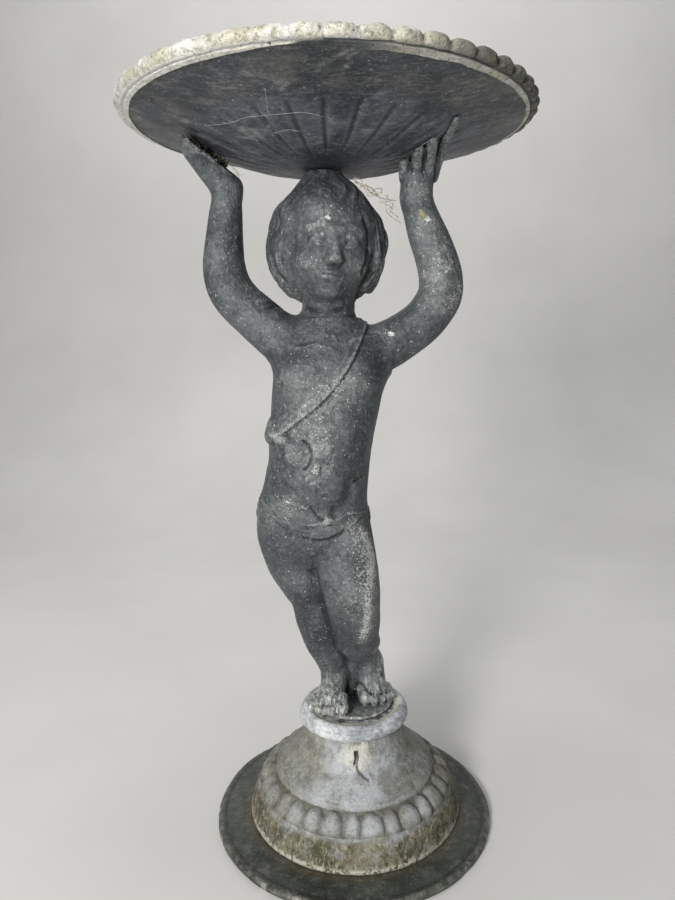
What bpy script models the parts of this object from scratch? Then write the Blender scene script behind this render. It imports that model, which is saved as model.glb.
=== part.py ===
"""Cast garden statue: a small child holds up a shallow fluted bowl.

Five castings stand on each other. A flat foot disc carries a bell-shaped base with a ring
of egg shapes, a rolled collar stands on the bell, the child stands on the collar on a thin
plate of its own, and the bowl rests on the head and on both hands.

The world is in metres, +Z up, with the origin at the middle of the foot disc's underside.
The child looks along -Y, and left and right are the viewer's. The child is sculpted in
millimetres, as a block of clay that limbs, balls and layers of cloth are pressed on to or
cut from.
"""

import math

import bmesh
import bpy
import numpy as np
from mathutils import Euler, Vector

MM = 0.001
GAP = 0.0003

# outlines are points (radius, height)

# foot disc
DISC_RADIUS = 0.1525
DISC_THICKNESS = 0.008
DISC_EDGE_ROUND = 0.002
DISC_STEPS = 60
DISC_BEND = 0.0016  # how much further the disc reaches on the left, where it was knocked

# bell-shaped base: a lip, a plain band, a ring of eggs, and the bell
BASE_CENTRE = Vector((0.0, 0.0018, 0.0))
LIP_OUTLINE = ((0.1158, 0.0083), (0.1177, 0.0107), (0.1158, 0.0143))
BAND_OUTLINE = ((0.1128, 0.0270), (0.1062, 0.0383))
EGG_COUNT = 30
EGG_STEPS = 4
EGG_OUTER = (0.1065, 0.0395)
EGG_INNER = (0.0880, 0.0570)
EGG_BULGE = 0.0065
EGG_SUNK = 0.12
EGG_ROWS = (0.12, 0.50, 0.88)
EGG_SPIN = math.radians(-1.6)
BELL_OUTLINE = ((0.0880, 0.0576), (0.0842, 0.0640), (0.0750, 0.0715), (0.0640, 0.0815),
                (0.0560, 0.0960), (0.0520, 0.1115))
BELL_TOP = BELL_OUTLINE[-1][1]
SLOT_WIDTH = 0.0060
SLOT_LENGTH = 0.0170
SLOT_DEPTH = 0.0060
SLOT_HEIGHT = 0.0945
SLOT_AZIMUTH = math.radians(2.2)

# collar
COLLAR_FOOT = BELL_TOP + GAP
COLLAR_HEIGHT = 0.0175
COLLAR_MIDDLE = COLLAR_FOOT + 0.42 * COLLAR_HEIGHT
COLLAR_WAIST_RADIUS = 0.0500
COLLAR_RADIUS = 0.0602
COLLAR_TOP_RADIUS = 0.0470
COLLAR_STEPS = 40
COLLAR_SAG = 0.0042  # how far the roll hangs down on the left

# bowl
BOWL_CENTRE = Vector((-0.0192, -0.0008, 0.0))
BOWL_TILT_X = math.radians(0.78)
BOWL_TILT_Y = math.radians(0.65)
BELLY_BOTTOM = 0.6950
BELLY_FLAT_RADIUS = 0.030
BELLY_RADIUS = 0.133
BELLY_EDGE = 0.7197
BELLY_CURVE = 1.7
BRIM_RADIUS = 0.1928
BRIM_EDGE = 0.7362
BOWL_WALL = 0.0042
FLUTE_COUNT = 24
FLUTE_STEPS = 4
FLUTE_DEPTH = 0.0024
FLUTE_RINGS = ((0.074, 0.8 * FLUTE_DEPTH), (0.103, FLUTE_DEPTH), (0.124, FLUTE_DEPTH))
LOBE_COUNT = 50
LOBE_STEPS = 4
LOBE_GROOVE = 0.0036
LOBE_RINGS = ((0.1978, 0.0010, 0.3 * LOBE_GROOVE), (0.2016, 0.0068, LOBE_GROOVE),
              (0.1955, 0.0118, 0.7 * LOBE_GROOVE))
BASIN_STEPS = 50
BASIN_RINGS = ((BELLY_RADIUS - 0.002, 1.0), (0.108, 1.2), (0.078, 1.1))
BASIN_EDGE = ((0.1880, 0.0083), (0.1840, 0.0022))
BOWL_SPIN = math.radians(0.5)

# the child's block of clay, in millimetres
CLAY_LOW = (-182, -92, 126)
CLAY_HIGH = (126, 98, 732)
CLAY_STEP = 3.0
FIGURE_TRIANGLES = 4200
PLATE_TOP = 133.0
PLATE_RADIUS = 42.5
BOWL_CLEARANCE = 0.9
FAR = 1.0e3

# the child's trunk: (height, x, y, half width, depth in front, depth behind)
TRUNK = (
    (296, -38, 2, 44, 36, 42),
    (316, -38.5, 2, 57, 42, 46),
    (337, -41, 2, 58.5, 44, 49),
    (358, -41, 1, 58, 47, 47),
    (380, -37, -1, 55.5, 51, 41),
    (402, -33.5, -2, 54, 53, 37),
    (423, -31, -2, 54.5, 52, 36),
    (444, -28, -1, 56, 49, 38),
    (465, -25, 1, 57.5, 47, 41),
    (486, -21.5, 3, 59, 46, 42),
    (508, -18.5, 5, 57, 43, 40),
    (528, -20, 6, 45, 36, 34),
    (545, -21, 6, 30, 27, 27),
)

# the child's own right and left limbs, from the trunk outwards: (x, y, z, radius)
RIGHT_ARM = (
    (-45, 6, 515, 29), (-68, 6, 528, 26.5), (-97.5, 6, 552, 24), (-120.5, 6, 577, 23.5),
    (-127.5, 4, 602, 22), (-126, 2, 629, 19.3), (-123.5, 1, 652, 17),
    (-120.5, 1, 678, 14.6))
LEFT_ARM = (
    (8, 6, 512, 29), (31, 6, 518, 26), (54, 6, 529.5, 24), (77.5, 6, 547, 23),
    (92, 5, 568, 23), (94, 4, 586, 22.5), (89.5, 2, 606, 21.5), (82, 1, 626, 20.3),
    (74.5, 0, 645, 18), (67.5, 0, 667, 15))
RIGHT_LEG = (
    (-64, 3, 330, 32), (-65.5, 1, 313, 33), (-61.5, -3, 293, 30), (-53, -6, 272, 25.5),
    (-45, -8, 255, 22.5), (-39, -3, 226, 22.4), (-33, 3, 201, 20.8), (-26.5, 7, 180, 17.3),
    (-21, 9, 162, 14.6))
LEFT_LEG = (
    (-14, 0, 330, 32), (-9, -8, 308, 33.5), (-5, -18, 288, 32.5), (-1, -25, 266, 30.5),
    (1, -20, 246, 28.5), (2.5, -9, 226, 27.5), (4.5, 4, 203, 24), (9.5, 15, 183, 19),
    (17, 21, 166, 17))


def clear_scene():
    for item in list(bpy.data.objects):
        bpy.data.objects.remove(item, do_unlink=True)


def lead(name, colour, roughness):
    material = bpy.data.materials.new(name)
    material.use_nodes = True
    shader = material.node_tree.nodes["Principled BSDF"]
    shader.inputs["Base Color"].default_value = (*colour, 1.0)
    shader.inputs["Roughness"].default_value = roughness
    shader.inputs["Metallic"].default_value = 0.35
    return material


def new_object(name, mesh, material, sharp_angle=math.radians(50)):
    mesh.materials.append(material)
    mesh.shade_smooth()
    mesh.set_sharp_from_angle(angle=sharp_angle)
    item = bpy.data.objects.new(name, mesh)
    bpy.context.scene.collection.objects.link(item)
    return item


def add_ring(form, count, radius_at, height_at):
    """One closed ring of vertices about the Z axis; both sizes are functions of azimuth."""
    ring = []
    for step in range(count):
        angle = math.tau * step / count
        radius = radius_at(angle)
        place = (radius * math.sin(angle), -radius * math.cos(angle), height_at(angle))
        ring.append(form.verts.new(place))
    return ring


def zip_rings(form, lower, upper):
    """Faces between two rings; the ring with fewer vertices gets fans of triangles."""
    low_count = len(lower)
    high_count = len(upper)
    if low_count == high_count:
        for step in range(low_count):
            after = (step + 1) % low_count
            form.faces.new((lower[step], lower[after], upper[after], upper[step]))
        return
    low_step = 0
    high_step = 0
    while low_step < low_count or high_step < high_count:
        next_low = (low_step + 1) / low_count
        next_high = (high_step + 1) / high_count
        a = lower[low_step % low_count]
        b = upper[high_step % high_count]
        if next_low <= next_high:
            low_step += 1
            form.faces.new((a, lower[low_step % low_count], b))
        else:
            high_step += 1
            form.faces.new((a, upper[high_step % high_count], b))


def turned_mesh(name, rings):
    """A closed body from rings that run up the outer side and, if hollow, down the inner one."""
    form = bmesh.new()
    loops = [add_ring(form, *ring) for ring in rings]
    for lower, upper in zip(loops, loops[1:]):
        zip_rings(form, lower, upper)
    form.faces.new(list(reversed(loops[0])))
    form.faces.new(loops[-1])
    bmesh.ops.recalc_face_normals(form, faces=form.faces[:])
    mesh = bpy.data.meshes.new(name)
    form.to_mesh(mesh)
    form.free()
    return mesh


def plain_ring(count, radius, height):
    return (count, lambda angle: radius, lambda angle: height)


def arc_points(centre, radii, first, last, steps):
    """Points (radius, height) on an elliptical arc between two angles above the horizontal."""
    points = []
    for step in range(steps + 1):
        angle = first + (last - first) * step / steps
        points.append((centre[0] + radii[0] * math.cos(angle),
                       centre[1] + radii[1] * math.sin(angle)))
    return points


def make_foot_disc(material):
    """A flat disc, a little out of round."""
    edge = DISC_EDGE_ROUND

    def bent_ring(radius, height):
        return (DISC_STEPS, lambda angle: radius - DISC_BEND * math.sin(angle), lambda angle: height)

    rings = [
        bent_ring(DISC_RADIUS - edge, 0.0),
        bent_ring(DISC_RADIUS, edge),
        bent_ring(DISC_RADIUS, DISC_THICKNESS - edge),
        bent_ring(DISC_RADIUS - 1.5 * edge, DISC_THICKNESS),
    ]
    return new_object("foot_disc", turned_mesh("foot_disc", rings), material)


def egg_row(share):
    """A ring across the row of eggs: share 0 is its outer edge, 1 its inner edge."""
    run = Vector(EGG_INNER) - Vector(EGG_OUTER)
    radius, height = Vector(EGG_OUTER) + run * share
    out = Vector((run.y, -run.x)).normalized()
    along = 2 * share - 1

    def swell(angle):
        pitch = EGG_COUNT * angle / math.tau
        across = 2 * abs(pitch - round(pitch))
        return EGG_BULGE * (math.sqrt(max(1 - across ** 2 - along ** 2, 0.0)) - EGG_SUNK)

    return (EGG_COUNT * EGG_STEPS,
            lambda angle: radius + out.x * swell(angle),
            lambda angle: height + out.y * swell(angle))


def bell_radius(height):
    outline = smooth_path(BELL_OUTLINE, 6)
    return float(np.interp(height, outline[:, 1], outline[:, 0]))


def make_slot_cutter():
    """An upright bar, square to the bell's skin, that leaves the slot in its front."""
    bpy.ops.mesh.primitive_cube_add(size=1.0)
    cutter = bpy.context.object
    cutter.name = "slot_cutter"
    cutter.scale = (SLOT_WIDTH, 2 * SLOT_DEPTH, SLOT_LENGTH)
    below = bell_radius(SLOT_HEIGHT - 0.5 * SLOT_LENGTH)
    above = bell_radius(SLOT_HEIGHT + 0.5 * SLOT_LENGTH)
    out = Vector((math.sin(SLOT_AZIMUTH), -math.cos(SLOT_AZIMUTH), 0.0))
    cutter.location = BASE_CENTRE + bell_radius(SLOT_HEIGHT) * out + Vector((0.0, 0.0, SLOT_HEIGHT))
    cutter.rotation_euler = Euler((-math.atan((below - above) / SLOT_LENGTH), 0.0, SLOT_AZIMUTH))
    cutter.display_type = "WIRE"
    cutter.hide_render = True
    return cutter


def make_bell_base(material):
    plain = EGG_COUNT * 2
    eggs = EGG_COUNT * EGG_STEPS
    rings = [plain_ring(plain, *point) for point in LIP_OUTLINE + BAND_OUTLINE[:-1]]
    rings.append(plain_ring(eggs, *BAND_OUTLINE[-1]))
    rings += [egg_row(share) for share in EGG_ROWS]
    rings += [plain_ring(plain, *point) for point in BELL_OUTLINE]
    base = new_object("bell_base", turned_mesh("bell_base", rings), material)
    base.location = BASE_CENTRE
    base.rotation_euler = Euler((0.0, 0.0, EGG_SPIN))
    slot = base.modifiers.new("slot", "BOOLEAN")
    slot.operation = "DIFFERENCE"
    slot.object = make_slot_cutter()
    return base


def make_collar(material):
    """A rolled ring, flat above and below, whose roll sags on the left."""
    top = COLLAR_FOOT + COLLAR_HEIGHT
    lower = arc_points((COLLAR_WAIST_RADIUS, COLLAR_MIDDLE),
                       (COLLAR_RADIUS - COLLAR_WAIST_RADIUS, COLLAR_MIDDLE - COLLAR_FOOT),
                       -math.pi / 2, 0.0, 3)
    upper = arc_points((COLLAR_TOP_RADIUS, COLLAR_MIDDLE),
                       (COLLAR_RADIUS - COLLAR_TOP_RADIUS, top - COLLAR_MIDDLE),
                       0.0, math.pi / 2, 4)

    def sagging_ring(radius, height):
        share = math.sin(math.pi * (height - COLLAR_FOOT) / COLLAR_HEIGHT)
        drop = 0.5 * COLLAR_SAG * max(share, 0.0)
        return (COLLAR_STEPS, lambda angle: radius, lambda angle: height - drop * (1 - math.sin(angle)))

    rings = [sagging_ring(*point) for point in lower + upper[1:]]
    return new_object("collar", turned_mesh("collar", rings), material)


def belly_height(radius):
    """Height of the bowl's underside over the ground without flutes and before its tilt."""
    if radius >= BELLY_RADIUS:
        share = (radius - BELLY_RADIUS) / (BRIM_RADIUS - BELLY_RADIUS)
        return BELLY_EDGE + (BRIM_EDGE - BELLY_EDGE) * share
    share = max(radius - BELLY_FLAT_RADIUS, 0.0) / (BELLY_RADIUS - BELLY_FLAT_RADIUS)
    return BELLY_BOTTOM + (BELLY_EDGE - BELLY_BOTTOM) * share ** BELLY_CURVE


def swell_between(count, angle):
    """0 in each of the grooves about the bowl and 1 half way between two of them."""
    return math.sqrt(abs(math.sin(0.5 * count * angle)))


def belly_ring(count, radius, depth):
    height = belly_height(radius)
    return (count, lambda angle: radius,
            lambda angle: height + depth * (1 - swell_between(FLUTE_COUNT, angle)))


def rim_ring(radius, rise, groove):
    """A ring of the rim's lobes; the grooves between them go in and, less so, down."""
    return (LOBE_COUNT * LOBE_STEPS,
            lambda angle: radius - groove * (1 - swell_between(LOBE_COUNT, angle)),
            lambda angle: BRIM_EDGE + rise - 0.6 * groove * (1 - swell_between(LOBE_COUNT, angle)))


def make_bowl(material):
    """Rings up the outside, over the rim, and down the basin, whose wall is BOWL_WALL thick."""
    fluted = FLUTE_COUNT * FLUTE_STEPS
    lobed = LOBE_COUNT * LOBE_STEPS
    rings = [
        plain_ring(FLUTE_COUNT, BELLY_FLAT_RADIUS, BELLY_BOTTOM),
        belly_ring(fluted // 2, 0.5 * (BELLY_FLAT_RADIUS + FLUTE_RINGS[0][0]), 0.0),
    ]
    rings += [belly_ring(fluted, radius, depth) for radius, depth in FLUTE_RINGS]
    rings += [
        belly_ring(fluted, BELLY_RADIUS, 0.0),
        plain_ring(lobed // 2, BRIM_RADIUS, BRIM_EDGE),
    ]
    rings += [rim_ring(*ring) for ring in LOBE_RINGS]
    lip, brim = BASIN_EDGE
    rings += [
        plain_ring(lobed // 2, lip[0], BRIM_EDGE + lip[1]),
        plain_ring(BASIN_STEPS, brim[0], BRIM_EDGE + brim[1]),
    ]
    for radius, walls in BASIN_RINGS:
        rings.append(plain_ring(BASIN_STEPS, radius, belly_height(radius) + walls * BOWL_WALL))
    rings.append(plain_ring(BASIN_STEPS // 2, BELLY_FLAT_RADIUS, BELLY_BOTTOM + BOWL_WALL))
    bowl = new_object("bowl", turned_mesh("bowl", rings), material)
    tilt = Euler((BOWL_TILT_X, BOWL_TILT_Y, 0.0)).to_matrix()
    spin = Euler((0.0, 0.0, BOWL_SPIN)).to_matrix()
    hinge = Vector((0.0, 0.0, BRIM_EDGE))
    bowl.location = BOWL_CENTRE + hinge - tilt @ hinge
    bowl.rotation_euler = (tilt @ spin).to_euler()
    return bowl


class Clay:
    """Clay on a regular grid: each grid point holds its distance to the surface, inside negative."""

    def __init__(self, low, high, step):
        self.low = np.array(low, float)
        self.step = step
        self.count = np.ceil((np.array(high) - self.low) / step).astype(int) + 1
        self.depth = np.full(self.count, FAR, np.float32)

    def window(self, low, high):
        """The part of the grid inside a box: its slices and its open coordinate arrays."""
        first = np.floor((np.array(low) - self.low) / self.step).astype(int)
        last = np.ceil((np.array(high) - self.low) / self.step).astype(int) + 1
        first = np.clip(first, 0, self.count - 1)
        last = np.clip(last, first + 1, self.count)
        spans = tuple(slice(a, b) for a, b in zip(first, last))
        axes = [self.low[k] + self.step * np.arange(first[k], last[k]) for k in range(3)]
        return spans, np.meshgrid(*axes, indexing="ij", sparse=True)

    def around(self, shape, blend):
        low, high, distance = shape
        margin = blend + 2 * self.step
        spans, grid = self.window(np.array(low) - margin, np.array(high) + margin)
        return spans, distance(*grid)

    def add(self, shape, blend):
        spans, other = self.around(shape, blend)
        self.depth[spans] = smooth_min(self.depth[spans], other, blend)

    def cut(self, shape, blend):
        spans, other = self.around(shape, blend)
        self.depth[spans] = -smooth_min(-self.depth[spans], other, blend)


def smooth_min(a, b, blend):
    overlap = np.maximum(blend - np.abs(a - b), 0.0) / blend
    return np.minimum(a, b) - overlap * overlap * (0.25 * blend)


def smooth_path(points, parts=5):
    """A curve through the points, each with any number of values (Catmull and Rom)."""
    knots = np.array(points, float)
    knots = np.vstack([2 * knots[0] - knots[1], knots, 2 * knots[-1] - knots[-2]])
    path = []
    for k in range(1, len(knots) - 2):
        before, start, end, after = knots[k - 1:k + 3]
        for part in range(parts):
            t = part / parts
            path.append(0.5 * (2 * start + (end - before) * t
                               + (2 * before - 5 * start + 4 * end - after) * t * t
                               + (3 * start - before - 3 * end + after) * t ** 3))
    path.append(knots[-2])
    return np.array(path)


def limb(points, parts=5):
    """A round limb through points (x, y, z, radius)."""
    path = smooth_path(points, parts) if len(points) > 2 else np.array(points, float)
    low = (path[:, :3] - path[:, 3:]).min(0)
    high = (path[:, :3] + path[:, 3:]).max(0)

    def distance(x, y, z):
        nearest = None
        for a, b in zip(path, path[1:]):
            run = b[:3] - a[:3]
            length = max(run @ run, 1e-9)
            along = ((x - a[0]) * run[0] + (y - a[1]) * run[1] + (z - a[2]) * run[2]) / length
            along = np.clip(along, 0.0, 1.0)
            gone = np.sqrt((x - a[0] - run[0] * along) ** 2 + (y - a[1] - run[1] * along) ** 2
                           + (z - a[2] - run[2] * along) ** 2)
            gone = gone - (a[3] + (b[3] - a[3]) * along)
            nearest = gone if nearest is None else np.minimum(nearest, gone)
        return nearest

    return low, high, distance


def ball(centre, radii, turn=None):
    """An ellipsoid; turn is a rotation matrix from its own axes to the world's."""
    centre = np.array(centre, float)
    radii = np.array(radii, float) * np.ones(3)
    axes = np.eye(3) if turn is None else np.array(turn)
    reach = np.sqrt(((axes * radii) ** 2).sum(1))

    def distance(x, y, z):
        dx, dy, dz = x - centre[0], y - centre[1], z - centre[2]
        own = [dx * axes[0, k] + dy * axes[1, k] + dz * axes[2, k] for k in range(3)]
        near = np.sqrt(sum((own[k] / radii[k]) ** 2 for k in range(3)))
        slope = np.sqrt(sum((own[k] / radii[k] ** 2) ** 2 for k in range(3)))
        return near * (near - 1.0) / np.maximum(slope, 1e-6)

    return centre - reach, centre + reach, distance


def trunk(stations, cap):
    """A body through level ellipses: (height, x, y, half width, depth in front, depth behind)."""
    path = smooth_path(stations, 6)
    low = (path[:, 1] - path[:, 3]).min(), (path[:, 2] - path[:, 4]).min(), path[0, 0]
    high = (path[:, 1] + path[:, 3]).max(), (path[:, 2] + path[:, 5]).max(), path[-1, 0]

    def distance(x, y, z):
        cx, cy, wide, front, back = (np.interp(z, path[:, 0], path[:, k]) for k in range(1, 6))
        deep = np.where(y < cy, front, back)
        near = np.sqrt(((x - cx) / wide) ** 2 + ((y - cy) / deep) ** 2)
        slope = np.sqrt(((x - cx) / wide ** 2) ** 2 + ((y - cy) / deep ** 2) ** 2)
        side = near * (near - 1.0) / np.maximum(slope, 1e-6)
        level = np.maximum(z - path[-1, 0], path[0, 0] - z)
        return -smooth_min(-side, -level, cap)

    return low, high, distance


def disc(centre, radius, low_height, high_height):
    """A flat round plate with sharp edges."""
    low = (centre[0] - radius, centre[1] - radius, low_height)
    high = (centre[0] + radius, centre[1] + radius, high_height)

    def distance(x, y, z):
        out = np.sqrt((x - centre[0]) ** 2 + (y - centre[1]) ** 2) - radius
        level = np.maximum(z - high_height, low_height - z)
        return np.maximum(out, level)

    return low, high, distance


class Pose:
    """A place with its own axes: x to the viewer's right, y to the back, z up."""

    def __init__(self, origin, turn_degrees):
        self.origin = np.array(origin, float)
        angles = [math.radians(value) for value in turn_degrees]
        self.axes = np.array(Euler(angles).to_matrix())

    def at(self, x, y, z):
        return self.origin + self.axes @ np.array((x, y, z), float)

    def ball(self, centre, radii):
        return ball(self.at(*centre), radii, self.axes)

    def limb(self, points, parts=5):
        return limb([(*self.at(x, y, z), radius) for x, y, z, radius in points], parts)


# the child's parts, each pressed on to the clay in millimetres

def sculpt_trunk(clay):
    clay.add(trunk(TRUNK, 24), 1)
    for side in (-1, 1):
        clay.add(ball((-40 + 26 * side, 22, 331), (29, 31, 31)), 20)
        clay.add(ball((-21 + 26 * side, -24, 492), (24, 17, 20)), 16)


def sculpt_arms(clay):
    clay.add(limb(RIGHT_ARM), 18)
    clay.add(limb(LEFT_ARM), 18)


def sculpt_hands(clay):
    clay.add(limb(((-121, 1, 678, 15), (-130, -6, 691, 15.5), (-140, -16, 703, 14.5))), 6)
    for spread, radius in ((-11, 6.2), (-3.5, 6.8), (4.5, 6.8), (12, 6.0)):
        start = (-139 - 0.80 * spread, -16 + 0.60 * spread, 703)
        middle = (-146 - 0.80 * spread, -28 + 0.60 * spread, 710)
        end = (-151 - 0.75 * spread, -41 + 0.55 * spread, 715)
        clay.add(limb(((*start, radius), (*middle, radius), (*end, 0.8 * radius))), 2.5)
    clay.add(limb(((67.5, 0, 667, 15), (69, -1, 680, 16.5), (70, -3, 690, 14))), 6)
    fingers = (
        ((57, -3, 686, 6.2), (56, -9, 695, 6), (56, -18, 701, 5)),
        ((68.5, -6, 687, 6.8), (68.5, -14, 697, 6.5), (69, -27, 703, 6), (70, -38, 706, 5)),
        ((80, -6, 688, 6.8), (82, -15, 699, 6.6), (87, -36, 708, 6), (94, -66, 715, 5)),
        ((82, 5, 686, 6), (87, -4, 700, 5.5), (94, -30, 713, 5), (101, -58, 718, 4.2)),
    )
    for finger in fingers:
        clay.add(limb(finger), 2.5)


def sculpt_legs(clay):
    clay.add(limb(RIGHT_LEG), 14)
    clay.add(limb(LEFT_LEG), 6)


def sculpt_feet(clay):
    floor = PLATE_TOP
    clay.add(ball((-20.5, 24, floor + 13), (14, 15, 14)), 6)
    clay.add(limb(((-21, 8, floor + 20, 15), (-23, -8, floor + 13, 14.5), (-25, -22, floor + 8, 13))), 6)
    clay.add(ball((-26, -22, floor + 5), (19.5, 16, 10)), 6)
    toes = ((-13.5, -37, 7.4, 7.2), (-23.2, -38.5, 5.4, 5.4), (-31, -36.5, 5, 5.0),
            (-38, -33.5, 4.6, 4.6), (-43.6, -29, 4.2, 4.2))
    for x, y, height, radius in toes:
        clay.add(limb(((x + 1, y + 11, floor + height, radius), (x, y, floor + height, radius))), 1.5)
    foot = Pose((18, 20, floor), (0, 0, 33))
    clay.add(foot.ball((0, 9, 13), (15, 16, 14)), 6)
    clay.add(foot.limb(((0, 2, 26, 17), (1, -12, 15, 16), (0, -26, 8, 12))), 6)
    clay.add(foot.ball((1, -24, 5), (19, 15, 9)), 6)
    toes = ((-12.5, -37, 7, 7), (-3.2, -39, 5.2, 5.3), (4.8, -37.5, 4.8, 4.9),
            (11.6, -34, 4.4, 4.5), (17, -29, 4, 4.1))
    for x, y, height, radius in toes:
        clay.add(foot.limb(((x, y + 11, height, radius), (x, y, height, radius))), 1.5)


def sculpt_neck(clay):
    clay.add(limb(((-21, 7, 525, 31), (-21.5, 6, 548, 28), (-21, 6, 575, 27), (-20, 8, 600, 30))), 16)


HEAD = Pose((-21.5, 6, 631), (4, 5, 12))


def sculpt_head(clay):
    clay.add(HEAD.ball((0, 7, 7), (48, 52, 54)), 8)
    clay.add(HEAD.ball((0, -13, -19), (42, 38, 45)), 12)
    clay.add(HEAD.ball((0, -24, 16), (40, 27, 30)), 10)
    clay.add(HEAD.ball((0, -38, -51), (13, 11, 10)), 12)
    for side in (-1, 1):
        clay.add(HEAD.ball((22 * side, -31, -25), (18, 17, 16)), 10)
        clay.cut(HEAD.ball((17.5 * side, -57, -3.5), (10, 8, 6.5)), 7)
        clay.add(HEAD.ball((16.5 * side, -41.5, -4), (9.6, 9, 8.2)), 2)
        brow = ((27 * side, -42, 4, 3), (16 * side, -49.5, 7.5, 3.8), (5 * side, -51, 4, 3.4))
        clay.add(HEAD.limb(brow), 6)
    clay.add(HEAD.limb(((0, -49, 3, 4.5), (0, -55.5, -11, 5), (0, -60, -21.5, 6.6))), 5)
    for side in (-1, 1):
        clay.add(HEAD.ball((6.8 * side, -55, -22.5), (4.6, 5.5, 4.3)), 3)
    upper_lip = ((-11.5, -49, -36.5, 2), (-5, -53.5, -34.8, 3.2), (0, -54.2, -35.4, 3.2),
                 (5, -53.5, -34.8, 3.2), (11.5, -49, -36.5, 2))
    lower_lip = ((-8.5, -49.5, -40.5, 2.4), (0, -52.8, -41.8, 4), (8.5, -49.5, -40.5, 2.4))
    clay.add(HEAD.limb(upper_lip), 3)
    clay.add(HEAD.limb(lower_lip), 3)


def hair_point(around, down, lift):
    """A point over the scalp: around from the front to the viewer's right, down from the crown."""
    radii = (48 + lift, 53 + lift, 55 + 0.5 * lift)
    return (radii[0] * math.sin(around) * math.sin(down),
            7 - radii[1] * math.cos(around) * math.sin(down),
            5 + radii[2] * math.cos(down))


def lock_of_hair(around, last, phase, radius, lifts):
    """A wavy lock from the crown down; lifts are its heights off the scalp from root to end."""
    points = []
    steps = 6
    first = math.radians(20)
    for step in range(steps + 1):
        share = step / steps
        wave = math.radians(9) * math.sin(2.6 * math.pi * share + phase)
        turn = around + wave * (0.2 + 0.8 * share)
        down = first + (last - first) * share
        rise = float(np.interp(share, np.linspace(0, 1, len(lifts)), lifts))
        thick = radius * (0.55 + 0.5 * math.sin(math.pi * (0.10 + 0.72 * share)))
        points.append((*hair_point(turn, down, rise), thick))
    return points


def sculpt_hair(clay):
    degrees = math.radians
    clay.add(HEAD.ball((-1, 14, -24), (48, 44, 34)), 4)
    clay.add(HEAD.ball((12, 14, -22), (46, 38, 34)), 4)
    for number in range(18):
        around = degrees(60 + 242 * number / 17)
        if number < 6:
            hair = lock_of_hair(around, degrees(143), 1.1 * number, 8.6, (-6, -4, 5, 11, 17))
        else:
            hair = lock_of_hair(around, degrees(153), 1.1 * number, 9.0, (-6, -5, 3, 6, 8))
        clay.add(HEAD.limb(hair), 4)
    for number in range(6):
        around = degrees(-52 + 18 * number)
        low_end = degrees(54 + 3.0 * abs(number - 2.0))
        fringe = lock_of_hair(around, low_end, 0.4 * number, 7.0, (-3, -1, 0))
        clay.add(HEAD.limb(fringe), 2.5)


def sculpt_sash(clay):
    """A band of cloth over one shoulder, knotted at the other hip."""
    middle = smooth_path(((16, 560), (9, 538), (1, 518), (-9, 498), (-18, 484), (-31, 468.5),
                          (-44, 457.5), (-60, 446), (-84, 433)), 4)
    spans, (x, y, z) = clay.window((-96, -66, 420), (32, 60, 560))
    skin = clay.depth[spans]
    aside = np.full(np.broadcast(x, z).shape, FAR)
    for a, b in zip(middle, middle[1:]):
        run = b - a
        along = np.clip(((x - a[0]) * run[0] + (z - a[1]) * run[1]) / (run @ run), 0, 1)
        gone = np.sqrt((x - a[0] - run[0] * along) ** 2 + (z - a[1] - run[1] * along) ** 2)
        aside = np.minimum(aside, gone)
    band = np.maximum(aside - 7.2, skin - 2.8)
    clay.depth[spans] = smooth_min(skin, band, 1.0)


def sculpt_knot(clay):
    clay.add(ball((-83, -14, 431), (9, 11, 9)), 3)
    clay.add(limb(((-82, -22, 432, 6), (-68, -38, 428, 6), (-57, -47, 420, 5))), 3)
    clay.add(ball((-55, -45, 411), (13, 8, 14)), 3)


def sculpt_loincloth(clay):
    """A strip of cloth about the hips, tied in front."""
    spans, (x, y, z) = clay.window((-106, -60, 300), (26, 64, 372))
    skin = clay.depth[spans]
    upper = 344 + 0.0035 * (x + 30) ** 2
    lower = 322 + 0.0045 * (x + 36) ** 2
    band = np.maximum(np.maximum(z - upper, lower - z), skin - 2.4)
    clay.depth[spans] = smooth_min(skin, band, 2)
    clay.add(ball((-29, -46, 337), (7, 5, 6)), 3)


def sculpt_plate(clay):
    clay.add(disc((0.0, 0.0), PLATE_RADIUS, PLATE_TOP - 10, PLATE_TOP), 1.5)


def clear_of_bowl(clay):
    """Cuts away what would reach into the bowl, with a little air under it."""
    spans, (x, y, z) = clay.window((-176, -86, 680), (126, 78, 726))
    aside = x - BOWL_CENTRE.x / MM
    across = y - BOWL_CENTRE.y / MM
    radius = np.sqrt(aside ** 2 + across ** 2) * MM
    radii = np.linspace(0.0, BRIM_RADIUS, 120)
    heights = [belly_height(value) for value in radii]
    under = np.interp(radius, radii, heights) / MM
    tilt = across * math.tan(BOWL_TILT_X) - aside * math.tan(BOWL_TILT_Y)
    over = z - (under + tilt - BOWL_CLEARANCE)
    clay.depth[spans] = np.maximum(clay.depth[spans], 0.95 * over)


def sculpt_figure(step):
    clay = Clay(CLAY_LOW, CLAY_HIGH, step)
    sculpt_trunk(clay)
    sculpt_legs(clay)
    sculpt_arms(clay)
    sculpt_neck(clay)
    sculpt_sash(clay)
    sculpt_knot(clay)
    sculpt_loincloth(clay)
    sculpt_feet(clay)
    sculpt_head(clay)
    sculpt_hair(clay)
    sculpt_hands(clay)
    sculpt_plate(clay)
    clear_of_bowl(clay)
    foot = (COLLAR_FOOT + COLLAR_HEIGHT + GAP) / MM
    spans, (x, y, z) = clay.window(CLAY_LOW, CLAY_HIGH)
    clay.depth[spans] = np.maximum(clay.depth[spans], foot - z)
    return clay


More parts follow.
